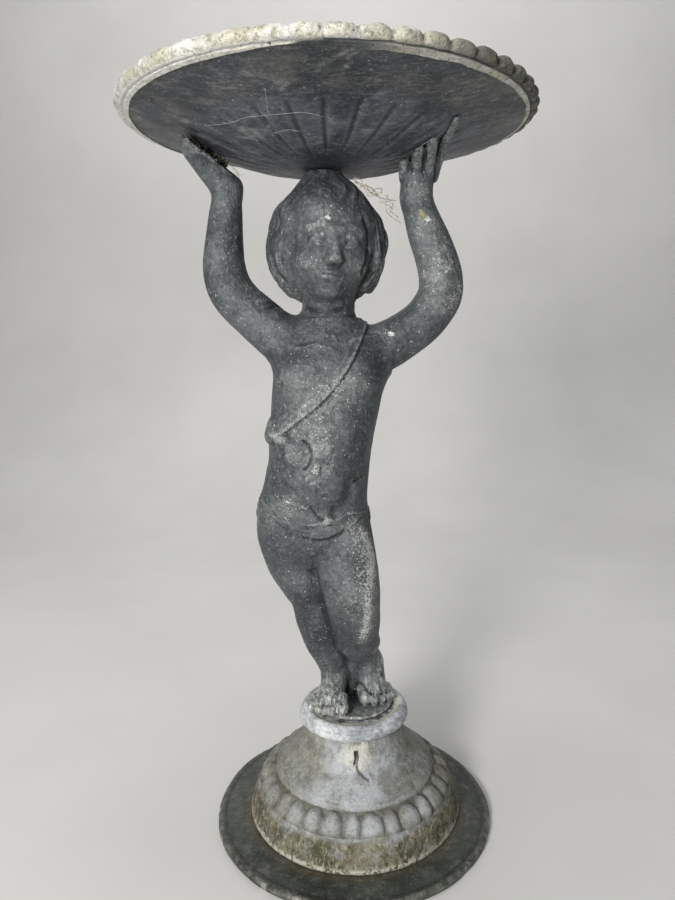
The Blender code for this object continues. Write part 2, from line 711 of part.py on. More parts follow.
def fill_pinches(inside):
    """Fills grid points until no two parts of the body touch by an edge or a corner alone."""
    while True:
        before = int(inside.sum())
        for a, b in ((0, 1), (0, 2), (1, 2)):
            one = np.swapaxes(np.swapaxes(inside, 0, a), 1, b)
            p, q = one[:-1, :-1], one[1:, 1:]
            r, s = one[1:, :-1], one[:-1, 1:]
            cross = p & q & ~r & ~s
            r |= cross
            cross = r & s & ~p & ~q
            p |= cross
        if int(inside.sum()) == before:
            return inside


def clay_surface(clay):
    """Vertices and quads of the clay's skin: one vertex in each grid cell that the skin crosses."""
    depth = clay.depth.copy()
    for axis in range(3):
        border = np.moveaxis(depth, axis, 0)
        border[0] = border[-1] = clay.step
    inside = fill_pinches(depth < 0)
    depth[inside & (depth >= 0)] = -0.05 * clay.step
    cells = tuple(n - 1 for n in depth.shape)
    total = np.zeros(cells + (3,), np.float32)
    hits = np.zeros(cells, np.int16)
    crossings = []
    for axis in range(3):
        a = [slice(None)] * 3
        b = [slice(None)] * 3
        a[axis] = slice(None, -1)
        b[axis] = slice(1, None)
        low, high = depth[tuple(a)], depth[tuple(b)]
        where = np.argwhere((low < 0) != (high < 0))
        first = low[tuple(where.T)]
        second = high[tuple(where.T)]
        share = first / (first - second)
        points = where.astype(np.float32)
        points[:, axis] += share
        crossings.append((axis, where, first < 0))
        others = [k for k in range(3) if k != axis]
        for da in (0, 1):
            for db in (0, 1):
                cell = where.copy()
                cell[:, others[0]] -= da
                cell[:, others[1]] -= db
                good = ((cell >= 0) & (cell < cells)).all(1)
                index = tuple(cell[good].T)
                np.add.at(hits, index, 1)
                np.add.at(total, index, points[good])
    used = hits > 0
    number = np.full(cells, -1, np.int64)
    number[used] = np.arange(int(used.sum()))
    verts = clay.low + clay.step * (total[used] / hits[used][:, None])
    faces = []
    for axis, where, falls in crossings:
        u, v = [(1, 2), (2, 0), (0, 1)][axis]
        corners = []
        for du, dv in ((0, 0), (1, 0), (1, 1), (0, 1)):
            cell = where.copy()
            cell[:, u] -= 1 - du
            cell[:, v] -= 1 - dv
            corners.append(number[tuple(cell.T)])
        quads = np.stack(corners, 1)
        quads[~falls] = quads[~falls][:, ::-1]
        faces.append(quads)
    return verts * MM, np.vstack(faces)


def largest_skin(verts, faces):
    """Drops every skin but the biggest, so that a closed hollow between two locks is filled."""
    label = np.arange(len(verts))
    while True:
        least = label[faces].min(1)
        after = label.copy()
        np.minimum.at(after, faces.ravel(), np.repeat(least, 4))
        after = after[after]
        if (after == label).all():
            break
        label = after
    skin = label[faces[:, 0]]
    faces = faces[skin == np.bincount(skin).argmax()]
    used, faces = np.unique(faces, return_inverse=True)
    return verts[used], faces.reshape(-1, 4)


def make_figure(material):
    verts, faces = largest_skin(*clay_surface(sculpt_figure(CLAY_STEP)))
    mesh = bpy.data.meshes.new("cherub")
    mesh.from_pydata(verts.tolist(), [], faces.tolist())
    mesh.update()
    figure = new_object("cherub", mesh, material, math.radians(60))
    reduce = figure.modifiers.new("reduce", "DECIMATE")
    reduce.ratio = FIGURE_TRIANGLES / (2 * len(faces))
    return figure


def build():
    clear_scene()
    make_foot_disc(lead("foot_disc_lead", (0.055, 0.062, 0.055), 0.62))
    make_bell_base(lead("base_lead", (0.22, 0.23, 0.21), 0.72))
    make_collar(lead("collar_lead", (0.42, 0.44, 0.47), 0.70))
    make_figure(lead("figure_lead", (0.115, 0.125, 0.135), 0.62))
    make_bowl(lead("bowl_lead", (0.13, 0.135, 0.15), 0.60))


build()
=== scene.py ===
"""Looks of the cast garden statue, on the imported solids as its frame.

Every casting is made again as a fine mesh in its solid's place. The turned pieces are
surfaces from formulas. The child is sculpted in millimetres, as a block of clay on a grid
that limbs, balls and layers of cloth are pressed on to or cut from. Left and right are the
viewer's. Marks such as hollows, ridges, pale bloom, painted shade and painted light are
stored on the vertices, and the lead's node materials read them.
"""

import math
from itertools import product

import bpy
import numpy as np
from mathutils import Euler, Matrix, Vector


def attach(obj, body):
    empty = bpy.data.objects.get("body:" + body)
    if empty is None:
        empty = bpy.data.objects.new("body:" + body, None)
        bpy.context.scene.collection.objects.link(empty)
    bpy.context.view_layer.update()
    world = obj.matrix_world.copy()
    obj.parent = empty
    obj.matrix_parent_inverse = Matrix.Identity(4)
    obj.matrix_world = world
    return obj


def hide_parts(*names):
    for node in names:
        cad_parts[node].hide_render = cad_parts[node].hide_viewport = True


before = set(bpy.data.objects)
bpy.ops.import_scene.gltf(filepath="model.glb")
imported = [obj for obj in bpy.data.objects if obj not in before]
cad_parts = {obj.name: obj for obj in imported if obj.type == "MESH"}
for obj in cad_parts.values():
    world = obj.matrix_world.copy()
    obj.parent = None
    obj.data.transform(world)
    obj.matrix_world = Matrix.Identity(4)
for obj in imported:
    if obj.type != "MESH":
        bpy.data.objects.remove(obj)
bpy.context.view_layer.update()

MM = 0.001
FAR = 1000.0
FINER = 2

# the turned castings, in metres; outlines are points (radius, height)
DISC_RADIUS = 0.1525
DISC_BEND = 0.0016
DISC_THICKNESS = 0.008
BASE_CENTRE = (0.0, 0.0018, 0.0)
BASE_FOOT = 0.0083
BELL_TOP = 0.1115
EGG_COUNT = 30
EGG_PHASE = math.radians(-1.6)
EGG_HEIGHT = 0.005
BAND = ((0, 0.0083), (0.115, 0.0083), (0.117, 0.0092), (0.1175, 0.0107), (0.1168, 0.0122),
        (0.1158, 0.0132), (0.116, 0.014), (0.1158, 0.015), (0.1146, 0.019), (0.1128, 0.027),
        (0.1098, 0.033), (0.1072, 0.0374), (0.1062, 0.039))
BELL = ((0.0882, 0.0568), (0.0876, 0.059), (0.0842, 0.064), (0.075, 0.0715), (0.064, 0.0815),
        (0.056, 0.096), (0.0527, 0.108), (0.052, 0.1115), (0, 0.1115))
SLOT_PLACE = (math.radians(2.2), 0.0945)
SLOT_HALF = (0.0022, 0.0056)
SLOT_DEPTH = 0.005
CRACK = ((2.8, 0.088), (2.6, 0.0855), (4.6, 0.0828), (7.6, 0.08), (12.2, 0.0768))
CRACK_RADIUS = 0.062
COLLAR_FOOT = 0.1118
COLLAR_TOP = 0.1293
ROLL = ((0, 0.1118), (0.0495, 0.1118), (0.0535, 0.1122), (0.0575, 0.1142), (0.0597, 0.1172),
        (0.0601, 0.12), (0.0594, 0.123), (0.0576, 0.1262), (0.0548, 0.1286), (0.052, 0.1293),
        (0.0494, 0.1286), (0.047, 0.1276), (0.044, 0.1274), (0, 0.1274))
BOWL_CENTRE = Vector((-0.0192, -0.0008, 0.0))
BOWL_TILT_X = math.radians(0.78)
BOWL_TILT_Y = math.radians(0.65)
BOWL_SPIN = math.radians(0.5)
BELLY_BOTTOM = 0.695
BELLY_FLAT_RADIUS = 0.03
BELLY_RADIUS = 0.133
BELLY_EDGE = 0.7197
BELLY_CURVE = 1.7
BRIM_RADIUS = 0.1928
BRIM_EDGE = 0.7362
BOWL_WALL = 0.0042
FLUTE_COUNT = 24
LOBE_COUNT = 50
LOBE_CENTRE = np.array((0.195, 0.7424))
LOBE_HALF = (0.0066, 0.0056)

# the child's block of clay, in millimetres
CLAY_LOW = (-182, -92, 126)
CLAY_HIGH = (126, 98, 732)
CLAY_STEP = 1.15
FIGURE_TRIANGLES = 190000
PLATE_TOP = 133.0
PLATE_RADIUS = 42.5
PLATE_FOOT = 129.6
SMOOTH_BELOW = 131.0  # the plate's underside stays without cast lumps
BOWL_CLEARANCE = 0.9
STRAW_COUNT = 16
LEAF_COUNT = 110

# the trunk: (height, x, y, half width, depth in front, depth behind)
TRUNK = (
    (296, -38, 2, 44, 36, 42), (316, -38.5, 2, 57, 42, 46), (337, -41, 2, 58.5, 44, 49),
    (358, -41, 1, 58, 47, 47), (380, -37, -1, 55.5, 51, 41), (402, -33.5, -2, 54, 53, 37),
    (423, -31, -2, 54.5, 52, 36), (444, -28, -1, 56, 49, 38), (465, -25, 1, 57.5, 47, 41),
    (486, -21.5, 3, 59, 46, 42), (508, -18.5, 5, 57, 43, 40), (528, -20, 6, 45, 36, 34),
    (545, -21, 6, 30, 27, 27))
# the child's own right and left limbs, from the trunk outwards: (x, y, z, radius)
RIGHT_ARM = (
    (-45, 6, 515, 29), (-68, 6, 528, 26.5), (-97.5, 6, 552, 24), (-120.5, 6, 577, 23.5),
    (-127.5, 4, 602, 22), (-126, 2, 629, 19.3), (-123.5, 1, 652, 17), (-120.5, 1, 678, 14.6))
LEFT_ARM = (
    (8, 6, 512, 29), (31, 6, 518, 26), (54, 6, 529.5, 24), (77.5, 6, 547, 23), (92, 5, 568, 23),
    (94, 4, 586, 22.5), (89.5, 2, 606, 21.5), (82, 1, 626, 20.3), (74.5, 0, 645, 18),
    (67.5, 0, 667, 15))
RIGHT_LEG = (
    (-64, 3, 330, 32), (-65.5, 1, 313, 33), (-61.5, -3, 293, 30), (-53, -6, 272, 25.5),
    (-45, -8, 255, 22.5), (-39, -3, 226, 22.4), (-33, 3, 201, 20.8), (-26.5, 7, 180, 17.3),
    (-21, 9, 162, 14.6))
LEFT_LEG = (
    (-14, 0, 330, 32), (-9, -8, 308, 33.5), (-5, -18, 288, 32.5), (-1, -25, 266, 30.5),
    (1, -20, 246, 28.5), (2.5, -9, 226, 27.5), (4.5, 4, 203, 24), (9.5, 15, 183, 19),
    (17, 21, 166, 17))
# the slit between the bowl and the hand on the left: the plane under it, the debris along it
SLIT_NORMAL = (0.6065, -0.097, 0.7891)
SLIT_LEVEL = 477.2
SLIT_LINE = ((-151, -35, 719), (-142.5, -20, 716), (-136.5, -3, 713), (-128.5, 2, 707),
             (-121.5, 2, 702.5))

# places where pale bloom sits thickly on the child; on the right thigh and the right forearm it is
# also painted light: (x, y, z, reach, strength)
BLOOM_AND_PAINTED_LIGHT = (
    (-14, -47, 478, 26, 0.75), (-32, -48, 462, 26, 0.85), (-52, -46, 447, 24, 0.85),
    (-46, -42, 482, 24, 0.45), (-34, -52, 436, 30, 0.75), (-8, -50, 430, 26, 0.45),
    (-34, -56, 402, 10, 1.2), (-74, -38, 434, 16, 1.2), (-58, -52, 416, 12, 0.7),
    (-66, -42, 360, 18, 0.5), (-88, -24, 344, 20, 0.55), (-24, -44, 346, 10, 0.85),
    # the right thigh: pale bloom, laid on thickly as painted light
    (8, -34, 330, 20, 1.25), (19, -30, 314, 15, 1.3), (21, -34, 294, 15, 1.3),
    (19, -40, 273, 15, 1.25), (16, -40, 252, 15, 1.3), (14, -32, 234, 14, 1.35),
    (10, -26, 219, 12, 1.2), (8, -44, 262, 30, 0.55), (32, 0, 188, 11, 1.3),
    (36, -2, 171, 11, 1.3), (41, -4, 152, 10, 1.3), (-38, -34, 235, 12, 0.4),
    # the right forearm and elbow: pale bloom, laid on thickly as painted light
    (104, -8, 604, 26, 1.1), (106, 0, 576, 28, 1.05), (90, -14, 590, 36, 0.7),
    (80, -16, 640, 26, 0.5), (72, -14, 668, 22, 0.4), (76, -18, 640, 12, 0.9),
    (34, -18, 540, 12, 0.55), (-28, -52, 596, 15, 0.6), (-22, -52, 640, 18, 0.65),
    (-104, -12, 582, 10, 0.45))
# painted shade: places where the lead is painted darker, most of them on the left side: (x, y, z,
# reach, strength)
PAINTED_SHADE = (
    (-66, -22, 312, 40, 1.1), (-44, -24, 262, 28, 1.05), (-34, -24, 226, 38, 1.3),
    (-30, -32, 316, 16, 0.7), (-10.5, -47, 590, 12, 0.65), (-30, -16, 666, 34, 0.7),
    (-80, -2, 632, 30, 0.7), (-128, -12, 640, 30, 0.45), (-116, -18, 596, 24, 0.3),
    (-60, -10, 600, 24, 0.4), (-10, -10, 668, 24, 0.4), (30, -20, 505, 22, 0.35),
    (34, -10, 460, 24, 0.4), (-55, -36, 392, 20, 0.35))
# white dirt and brown lichen on the front: a line of (x, z), its reach and its strength; the wide
# lines down the right thigh are also painted light
DIRT_AND_PAINTED_LIGHT = (
    (((-66, 367.5), (-60, 365.5), (-54, 364), (-49, 362.5)), 2.6, 0.5),
    (((-62, 358), (-52, 357.5), (-44, 357)), 1.4, 0.35),
    (((-68, 349.5), (-64, 344), (-59, 339), (-55, 336)), 1.6, 0.45),
    (((-54, 343.5), (-44, 343), (-34, 343.5)), 1.6, 0.38),
    (((-27, 346), (-23, 347.5), (-19, 347)), 3.2, 0.55),
    (((-19, 347), (-10, 349.5), (-2, 351.5), (8, 350.5)), 1.7, 0.42),
    (((-4, 352), (-1, 351.5), (3, 351.5)), 2.8, 0.5),
    # the right thigh: white dirt, widened as painted light
    (((14, 326), (18, 316), (21, 304), (20, 292), (17, 280)), 12.5, 0.6),
    (((17, 280), (16, 268), (16, 256), (15, 244), (14, 232), (11, 221)), 10.5, 0.6),
    (((24, 334), (28, 322), (30, 308), (30, 296)), 6, 0.5),
    (((6, 336), (12, 330), (18, 326)), 5, 0.48),
    (((4, 328), (9, 314), (11, 298), (11, 282)), 20, 0.42),
    (((-34, 452), (-30, 438), (-26, 424)), 14, 0.33),
    (((32, 178), (35, 168), (38, 156), (41, 147)), 5, 0.6),
    (((6, 192), (14, 191), (22, 192)), 3, 0.42), (((-34, 404), (-37, 399)), 3.5, 0.6),
    (((-79, 439), (-75, 434), (-71, 438)), 3, 0.55), (((-80, 430), (-76, 446)), 2, 0.5),
    (((41, 533), (43, 532)), 3.6, 0.95), (((-20, 641), (-18, 640)), 2.8, 0.9),
    (((77, 643), (79, 642)), 4, 0.75), (((-48, 315), (-42, 317), (-40, 311)), 1.6, 0.5))
LICHEN = ((((71, 650), (74, 646)), 4.2, 0.75), (((-47, 640), (-45, 640)), 2.4, 0.4))


# seeded noise

LATTICE = np.random.default_rng(11).random((32, 32, 32)) * 2 - 1


def between(part, corner):
    """Values inside cells from those at their corners; part is the place in the cell, (n, 3)."""
    total = 0.0
    for way in product((0, 1), repeat=3):
        share = 1.0
        for axis in range(3):
            share = share * (part[:, axis] if way[axis] else 1 - part[:, axis])
        total = total + corner(*way) * share
    return total


def rough(points, size):
    """Smooth noise from -1 to 1 whose lumps are about size across; points is (n, 3)."""
    scaled = np.asarray(points, float) / size
    cell = np.floor(scaled).astype(int)
    part = scaled - cell
    part = part * part * (3 - 2 * part)
    return between(part, lambda i, j, k: LATTICE[tuple((cell + (i, j, k)).T % 32)])


def layered(points, size, octaves=3):
    """Noise of size with finer and weaker noise on it."""
    total = 0.0
    for octave in range(octaves):
        moved = np.asarray(points) + 7.3 * size * octave
        total = total + rough(moved, size / 2 ** octave) / 2 ** octave
    return total


def ease(low, high, value):
    """A smooth step from 0 at low to 1 at high."""
    share = np.clip((value - low) / (high - low), 0.0, 1.0)
    return share * share * (3 - 2 * share)


# clay

class Clay:
    """Clay on a regular grid: each grid point holds its distance to the skin, inside negative."""

    def __init__(self, low, high, step):
        self.low = np.array(low, float)
        self.step = step
        self.count = np.ceil((np.array(high) - self.low) / step).astype(int) + 1
        self.depth = np.full(self.count, FAR, np.float32)

    def window(self, low, high):
        """The part of the grid inside a box: its slices and its open coordinate arrays."""
        first = np.floor((np.array(low) - self.low) / self.step).astype(int)
        last = np.ceil((np.array(high) - self.low) / self.step).astype(int) + 1
        first = np.clip(first, 0, self.count - 1)
        last = np.clip(last, first + 1, self.count)
        spans = tuple(slice(a, b) for a, b in zip(first, last))
        axes = [(self.low[k] + self.step * np.arange(first[k], last[k])).astype(np.float32)
                for k in range(3)]
        return spans, np.meshgrid(*axes, indexing="ij", sparse=True)

    def add(self, shape, blend, sign=1):
        """Presses a shape on with a soft seam of width blend; sign -1 cuts it out instead."""
        low, high, distance = shape
        margin = blend + 2 * self.step
        spans, grid = self.window(np.array(low) - margin, np.array(high) + margin)
        self.depth[spans] = sign * smooth_min(sign * self.depth[spans], distance(*grid), blend)

    def cut(self, shape, blend):
        self.add(shape, blend, -1)

    def trim(self, low, high, outside):
        """Cuts away what lies in a box where outside(x, y, z) is more than 0."""
        spans, grid = self.window(low, high)
        self.depth[spans] = np.maximum(self.depth[spans], outside(*grid))

    def emboss(self, low, high, height):
        """Raises the skin in a box by height(x, y, z), in millimetres; less than 0 sinks it."""
        spans, grid = self.window(low, high)
        self.depth[spans] -= height(*grid)

    def sample(self, points):
        """Distance to the skin at points (n, 3), read between the grid points."""
        place = (points - self.low) / self.step
        cell = np.clip(np.floor(place).astype(int), 0, self.count - 2)
        part = np.clip(place - cell, 0.0, 1.0)
        return between(part, lambda i, j, k: self.depth[tuple((cell + (i, j, k)).T)])

    def skin(self, x, z):
        """How far back (y) the front skin lies at x and z."""
        i = int(round((x - self.low[0]) / self.step))
        k = int(round((z - self.low[2]) / self.step))
        column = self.depth[i, :, k]
        hit = int(np.argmax(column < 0))
        share = column[hit - 1] / (column[hit - 1] - column[hit]) if hit > 0 else 0.0
        return self.low[1] + self.step * (hit - 1 + share)

    def ridge(self, points, radius, sunk, blend, reach=8.0, sign=1):
        """A thin ridge along a smooth path of (x, z) on the front skin, set into it by sunk."""
        path = smooth_path(points)
        back = np.array([self.skin(x, z) for x, z in path])
        back = np.convolve(np.pad(back, 1, "edge"), (0.25, 0.5, 0.25), "valid")
        radii = radius * np.ones(len(path))
        radii[[0, -1]] *= 0.4
        line = np.column_stack((path[:, 0], back + sunk, path[:, 1], radii))
        self.add(rod(line, reach), blend, sign)

    def groove(self, points, radius, sunk, blend, reach=8.0):
        self.ridge(points, radius, sunk, blend, reach, -1)


def smooth_min(a, b, blend):
    overlap = np.maximum(blend - np.abs(a - b), 0.0) / blend
    return np.minimum(a, b) - overlap * overlap * (0.25 * blend)


def smooth_path(points, parts=5):
    """A curve through the points, each with any number of values (Catmull and Rom)."""
    knots = np.array(points, float)
    knots = np.vstack([2 * knots[0] - knots[1], knots, 2 * knots[-1] - knots[-2]])
    path = []
    for k in range(1, len(knots) - 2):
        before, start, end, after = knots[k - 1:k + 3]
        for part in range(parts):
            t = part / parts
            path.append(0.5 * (2 * start + (end - before) * t
                               + (2 * before - 5 * start + 4 * end - after) * t * t
                               + (3 * start - before - 3 * end + after) * t ** 3))
    path.append(knots[-2])
    return np.array(path)


def rod(path, reach=14.0):
    """A round rod through points (x, y, z, radius), worked out near each stretch of it only."""
    path = np.array(path, float)
    low = (path[:, :3] - path[:, 3:]).min(0)
    high = (path[:, :3] + path[:, 3:]).max(0)

    def distance(x, y, z):
        nearest = np.full((x.size, y.size, z.size), FAR, np.float32)
        axes = (x.ravel(), y.ravel(), z.ravel())
        for a, b in zip(path, path[1:]):
            wide = max(a[3], b[3]) + reach
            spans = tuple(slice(np.searchsorted(axes[k], min(a[k], b[k]) - wide),
                                np.searchsorted(axes[k], max(a[k], b[k]) + wide))
                          for k in range(3))
            if any(span.start >= span.stop for span in spans):
                continue
            px = x[spans[0]] - a[0]
            py = y[:, spans[1]] - a[1]
            pz = z[:, :, spans[2]] - a[2]
            run = b[:3] - a[:3]
            length = max(run @ run, 1e-9)
            along = np.clip((px * run[0] + py * run[1] + pz * run[2]) / length, 0.0, 1.0)
            gone = np.sqrt((px - run[0] * along) ** 2 + (py - run[1] * along) ** 2
                           + (pz - run[2] * along) ** 2)
            gone = gone - (a[3] + (b[3] - a[3]) * along)
            np.minimum(nearest[spans], gone, out=nearest[spans])
        return nearest

    return low, high, distance


def limb(points, parts=5, reach=14.0):
    """A smooth round limb through points (x, y, z, radius)."""
    return rod(smooth_path(points, parts) if len(points) > 2 else points, reach)


def ball(centre, radii, axes=np.eye(3)):
    """An ellipsoid; axes is a rotation matrix from its own axes to the world's."""
    centre = np.array(centre, float)
    radii = np.array(radii, float) * np.ones(3)
    reach = np.sqrt(((axes * radii) ** 2).sum(1))

    def distance(x, y, z):
        dx, dy, dz = x - centre[0], y - centre[1], z - centre[2]
        own = [dx * axes[0, k] + dy * axes[1, k] + dz * axes[2, k] for k in range(3)]
        near = np.sqrt(sum((own[k] / radii[k]) ** 2 for k in range(3)))
        slope = np.sqrt(sum((own[k] / radii[k] ** 2) ** 2 for k in range(3)))
        return near * (near - 1.0) / np.maximum(slope, 1e-6)

    return centre - reach, centre + reach, distance


def trunk(stations, cap):
    """A body through level ellipses: (height, x, y, half width, depth in front, depth behind)."""
    path = smooth_path(stations, 6)
    low = (path[:, 1] - path[:, 3]).min(), (path[:, 2] - path[:, 4]).min(), path[0, 0]
    high = (path[:, 1] + path[:, 3]).max(), (path[:, 2] + path[:, 5]).max(), path[-1, 0]

    def distance(x, y, z):
        cx, cy, wide, front, back = (np.interp(z, path[:, 0], path[:, k]) for k in range(1, 6))
        deep = np.where(y < cy, front, back)
        near = np.sqrt(((x - cx) / wide) ** 2 + ((y - cy) / deep) ** 2)
        slope = np.sqrt(((x - cx) / wide ** 2) ** 2 + ((y - cy) / deep ** 2) ** 2)
        side = near * (near - 1.0) / np.maximum(slope, 1e-6)
        level = np.maximum(z - path[-1, 0], path[0, 0] - z)
        return -smooth_min(-side, -level, cap)

    return low, high, distance


class Pose:
    """A place with its own axes: x to the right, y to the back, z up."""

    def __init__(self, origin, degrees):
        self.origin = np.array(origin, float)
        self.axes = np.array(Euler([math.radians(value) for value in degrees]).to_matrix())

    def at(self, x, y, z):
        return self.origin + self.axes @ np.array((x, y, z), float)

    def ball(self, centre, radii):
        return ball(self.at(*centre), radii, self.axes)

    def limb(self, points, parts=5, reach=14.0):
        return limb([(*self.at(x, y, z), radius) for x, y, z, radius in points], parts, reach)


def mirrored(points):
    """A path from the middle (x = 0) to the right, with its mirror image before it."""
    return [(-x, *rest) for x, *rest in points[:0:-1]] + list(points)


def beside(path, x, z):
    """Distance to a path of (x, z), less than 0 on its lower side, over an open grid."""
    aside = np.full(np.broadcast(x, z).shape, FAR, np.float32)
    for a, b in zip(path, path[1:]):
        run = b - a
        along = np.clip(((x - a[0]) * run[0] + (z - a[1]) * run[1]) / (run @ run), 0, 1)
        gone = np.sqrt((x - a[0] - run[0] * along) ** 2 + (z - a[1] - run[1] * along) ** 2)
        side = np.sign(run[1] * (x - a[0]) - run[0] * (z - a[1]))
        aside = np.where(gone < np.abs(aside), gone * side, aside)
    return aside


# the child's parts

def sculpt_trunk(clay):
    clay.add(trunk(TRUNK, 24), 1)
    for side in (-1, 1):
        clay.add(ball((-40 + 26 * side, 22, 331), (29, 31, 31)), 20)
        clay.add(ball((-21 + 26 * side, -24, 492), (24, 17, 20)), 16)
        clay.add(ball((-21 + 27 * side, 28, 500), (19, 15, 27)), 14)
    spine = ((-21, 53, 520, 6), (-26, 49, 470, 6), (-32, 45, 420, 6), (-38, 52, 372, 5))
    clay.cut(limb(spine), 14)
    clay.cut(limb(((-39, 56, 352, 3), (-40, 58, 335, 4), (-40, 54, 312, 4))), 9)


def sculpt_legs(clay):
    clay.add(limb(RIGHT_LEG, reach=24), 14)
    clay.add(limb(LEFT_LEG, reach=24), 6)
    clay.add(ball((-1.5, -41, 268), (19, 15, 18)), 12)
    clay.add(ball((-51, -22, 268), (15, 11, 16)), 12)
    clay.add(limb(((-4, 14, 134, 10), (-3, 12, 160, 8), (-3, 8, 190, 8))), 5)
    for knee in (((-62, 22, 262, 2.5), (-50, 23, 259, 3), (-38, 18, 262, 2.5)),
                 ((-14, 12, 250, 2.5), (2, 14, 247, 3), (18, 8, 250, 2.5))):
        clay.cut(limb(knee), 7)
    clay.cut(limb(((-37, -3, 166, 1.6), (-31, -8.5, 165, 1.8), (-22, -9.5, 164.5, 1.8),
                   (-13, -5.5, 165, 1.6))), 4)
    clay.add(limb(((-8, -8, 204, 7), (2, -12, 200, 8), (14, -8, 198, 8), (22, 2, 197, 7))), 8)
    clay.cut(limb(((-10, -13, 194, 1.8), (-2, -20.5, 191, 3.0), (12, -19.5, 188.5, 3.2),
                   (23, -9, 187.5, 2.8), (29, 3, 187, 1.8))), 3)


def sculpt_arms(clay):
    for arm in (RIGHT_ARM, LEFT_ARM):
        clay.add(limb(arm, reach=24), 18)
    for elbow in (((-100, -10, 589, 1.2), (-106, -17, 586, 1.6), (-116, -20, 588, 1.2)),
                  ((72, -14, 577, 1.2), (80, -19, 573, 1.6), (91, -19, 574, 1.2))):
        clay.cut(limb(elbow), 4)


def over_slit(x, y, z):
    """Height over the wavy slit between the hand on the left and the bowl."""
    over = SLIT_NORMAL[0] * x + SLIT_NORMAL[1] * y + SLIT_NORMAL[2] * z - SLIT_LEVEL
    return over + 0.5 * np.sin(0.55 * x - 0.7 * y) - 0.9 * np.maximum(y - 2, 0.0)


def sculpt_hands(clay):
    clay.add(limb(((-121, 1, 678, 15), (-130, -6, 691, 15.5), (-140, -16, 703, 14.5))), 6)
    for spread, radius in ((-11, 6.2), (-3.5, 6.8), (4.5, 6.8), (12, 6.0)):
        start = (-138 - 0.72 * spread, -16 + 0.64 * spread, 703)
        middle = (-143.5 - 0.58 * spread, -27 + 0.72 * spread, 709)
        end = (-147.5 - 0.44 * spread, -39 + 0.8 * spread, 714)
        clay.add(limb(((*start, radius), (*middle, 0.95 * radius), (*end, 0.72 * radius))), 1.8)
    clay.add(ball((-143, -20, 708), (16, 18, 10)), 5)
    clay.trim((-176, -70, 676), (-100, 14, 728), over_slit)
    clay.add(limb(((67.5, 0, 667, 15), (69, -1, 680, 16.5), (70, -3, 690, 14))), 6)
    for finger in (
            ((57, -4, 684, 6.2), (56, -9, 692, 6.2), (55.5, -14, 700, 5.6)),
            ((68, -7, 685, 6.6), (67.6, -19, 695, 6.5), (67.5, -36, 704, 6)),
            ((79, -7, 686, 6.4), (79.3, -22, 697, 6.2), (79, -47, 709, 5.6)),
            ((85, 5, 687, 6.2), (89, -12, 701, 5.8), (93, -45, 713, 5.4), (97, -74, 719, 4.6))):
        clay.add(limb(finger), 1.2)
    for groove in (
            ((62.4, -14, 684, 0.5), (62, -19, 692, 1.2), (61.5, -27, 701, 1.5)),
            ((74, -16, 683, 0.6), (73.6, -22, 691, 1.6), (73.4, -38, 704, 1.9)),
            ((85, -9, 683, 0.6), (86, -17, 692, 1.6), (87, -40, 706, 2.2))):
        clay.cut(limb(groove), 1.0)
    clay.cut(limb(((54, -13, 681, 0.6), (62, -18, 680, 1.0), (72, -19, 680, 1.0),
                   (80, -15, 681, 0.6))), 2.5)


def sculpt_toes(clay, tools, toes, drift, shift, back, up, waist):
    """Toes (x, y, height, radius) with their nails; the rest says where their roots lie."""
    make_limb, make_ball = tools
    for x, y, height, radius in toes:
        root = (drift * x + shift, y + back, height + up, 0.95 * radius)
        middle = (x + waist[0], y + 6, height + waist[1], 0.86 * radius)
        clay.add(make_limb((root, middle, (x, y, height, radius))), 0.8)
        nail = (0.55 * radius, 0.6 * radius, 0.3 * radius)
        clay.cut(make_ball((x, y - 0.45 * radius, height + 1.05 * radius), nail), 0.6)


def sculpt_feet(clay):
    floor = PLATE_TOP
    clay.add(ball((-20.5, 24, floor + 13), (14, 15, 14)), 6)
    instep = ((-21, 8, floor + 20, 15), (-23, -8, floor + 13, 14.5), (-25, -22, floor + 8, 13))
    clay.add(limb(instep), 6)
    clay.add(ball((-26, -22, floor + 5), (19.5, 16, 10)), 6)
    toes = ((-12.5, -37.5, floor + 7.6, 7.4), (-23.0, -39.5, floor + 5.8, 5.7),
            (-31.5, -37.5, floor + 5.3, 5.3), (-38.8, -34, floor + 4.9, 4.9),
            (-44.6, -28.5, floor + 4.4, 4.4))
    sculpt_toes(clay, (limb, ball), toes, 0.9, -1.5, 14, 4.5, (0.5, 1.4))
    foot = Pose((17, 18, floor), (0, 0, 13))
    clay.add(foot.ball((0, 9, 13), (15, 16, 14)), 6)
    clay.add(foot.limb(((0, 3, 28, 17.5), (1, -9, 17, 16.5), (2, -20, 9, 13))), 6)
    clay.add(foot.ball((3, -18, 5), (20.5, 15, 9)), 6)
    toes = ((-11.5, -32, 7.4, 7.2), (-1.8, -34, 5.6, 5.6), (6.6, -32.5, 5.2, 5.2),
            (13.8, -29, 4.8, 4.8), (20, -24, 4.3, 4.3))
    sculpt_toes(clay, (foot.limb, foot.ball), toes, 1, 0, 13, 3.5, (0, 1.2))


def sculpt_neck(clay):
    neck = ((-21, 7, 525, 31), (-21.5, 6, 548, 28), (-21, 6, 575, 27), (-20, 8, 600, 30))
    clay.add(limb(neck), 16)
    clay.cut(limb(((-44, -10, 559, 1.2), (-32, -20, 556, 1.6), (-20, -22.5, 555, 1.7),
                   (-6, -17, 558, 1.2))), 4)


HEAD = Pose((-21.5, 6, 631), (4, 5, 12))


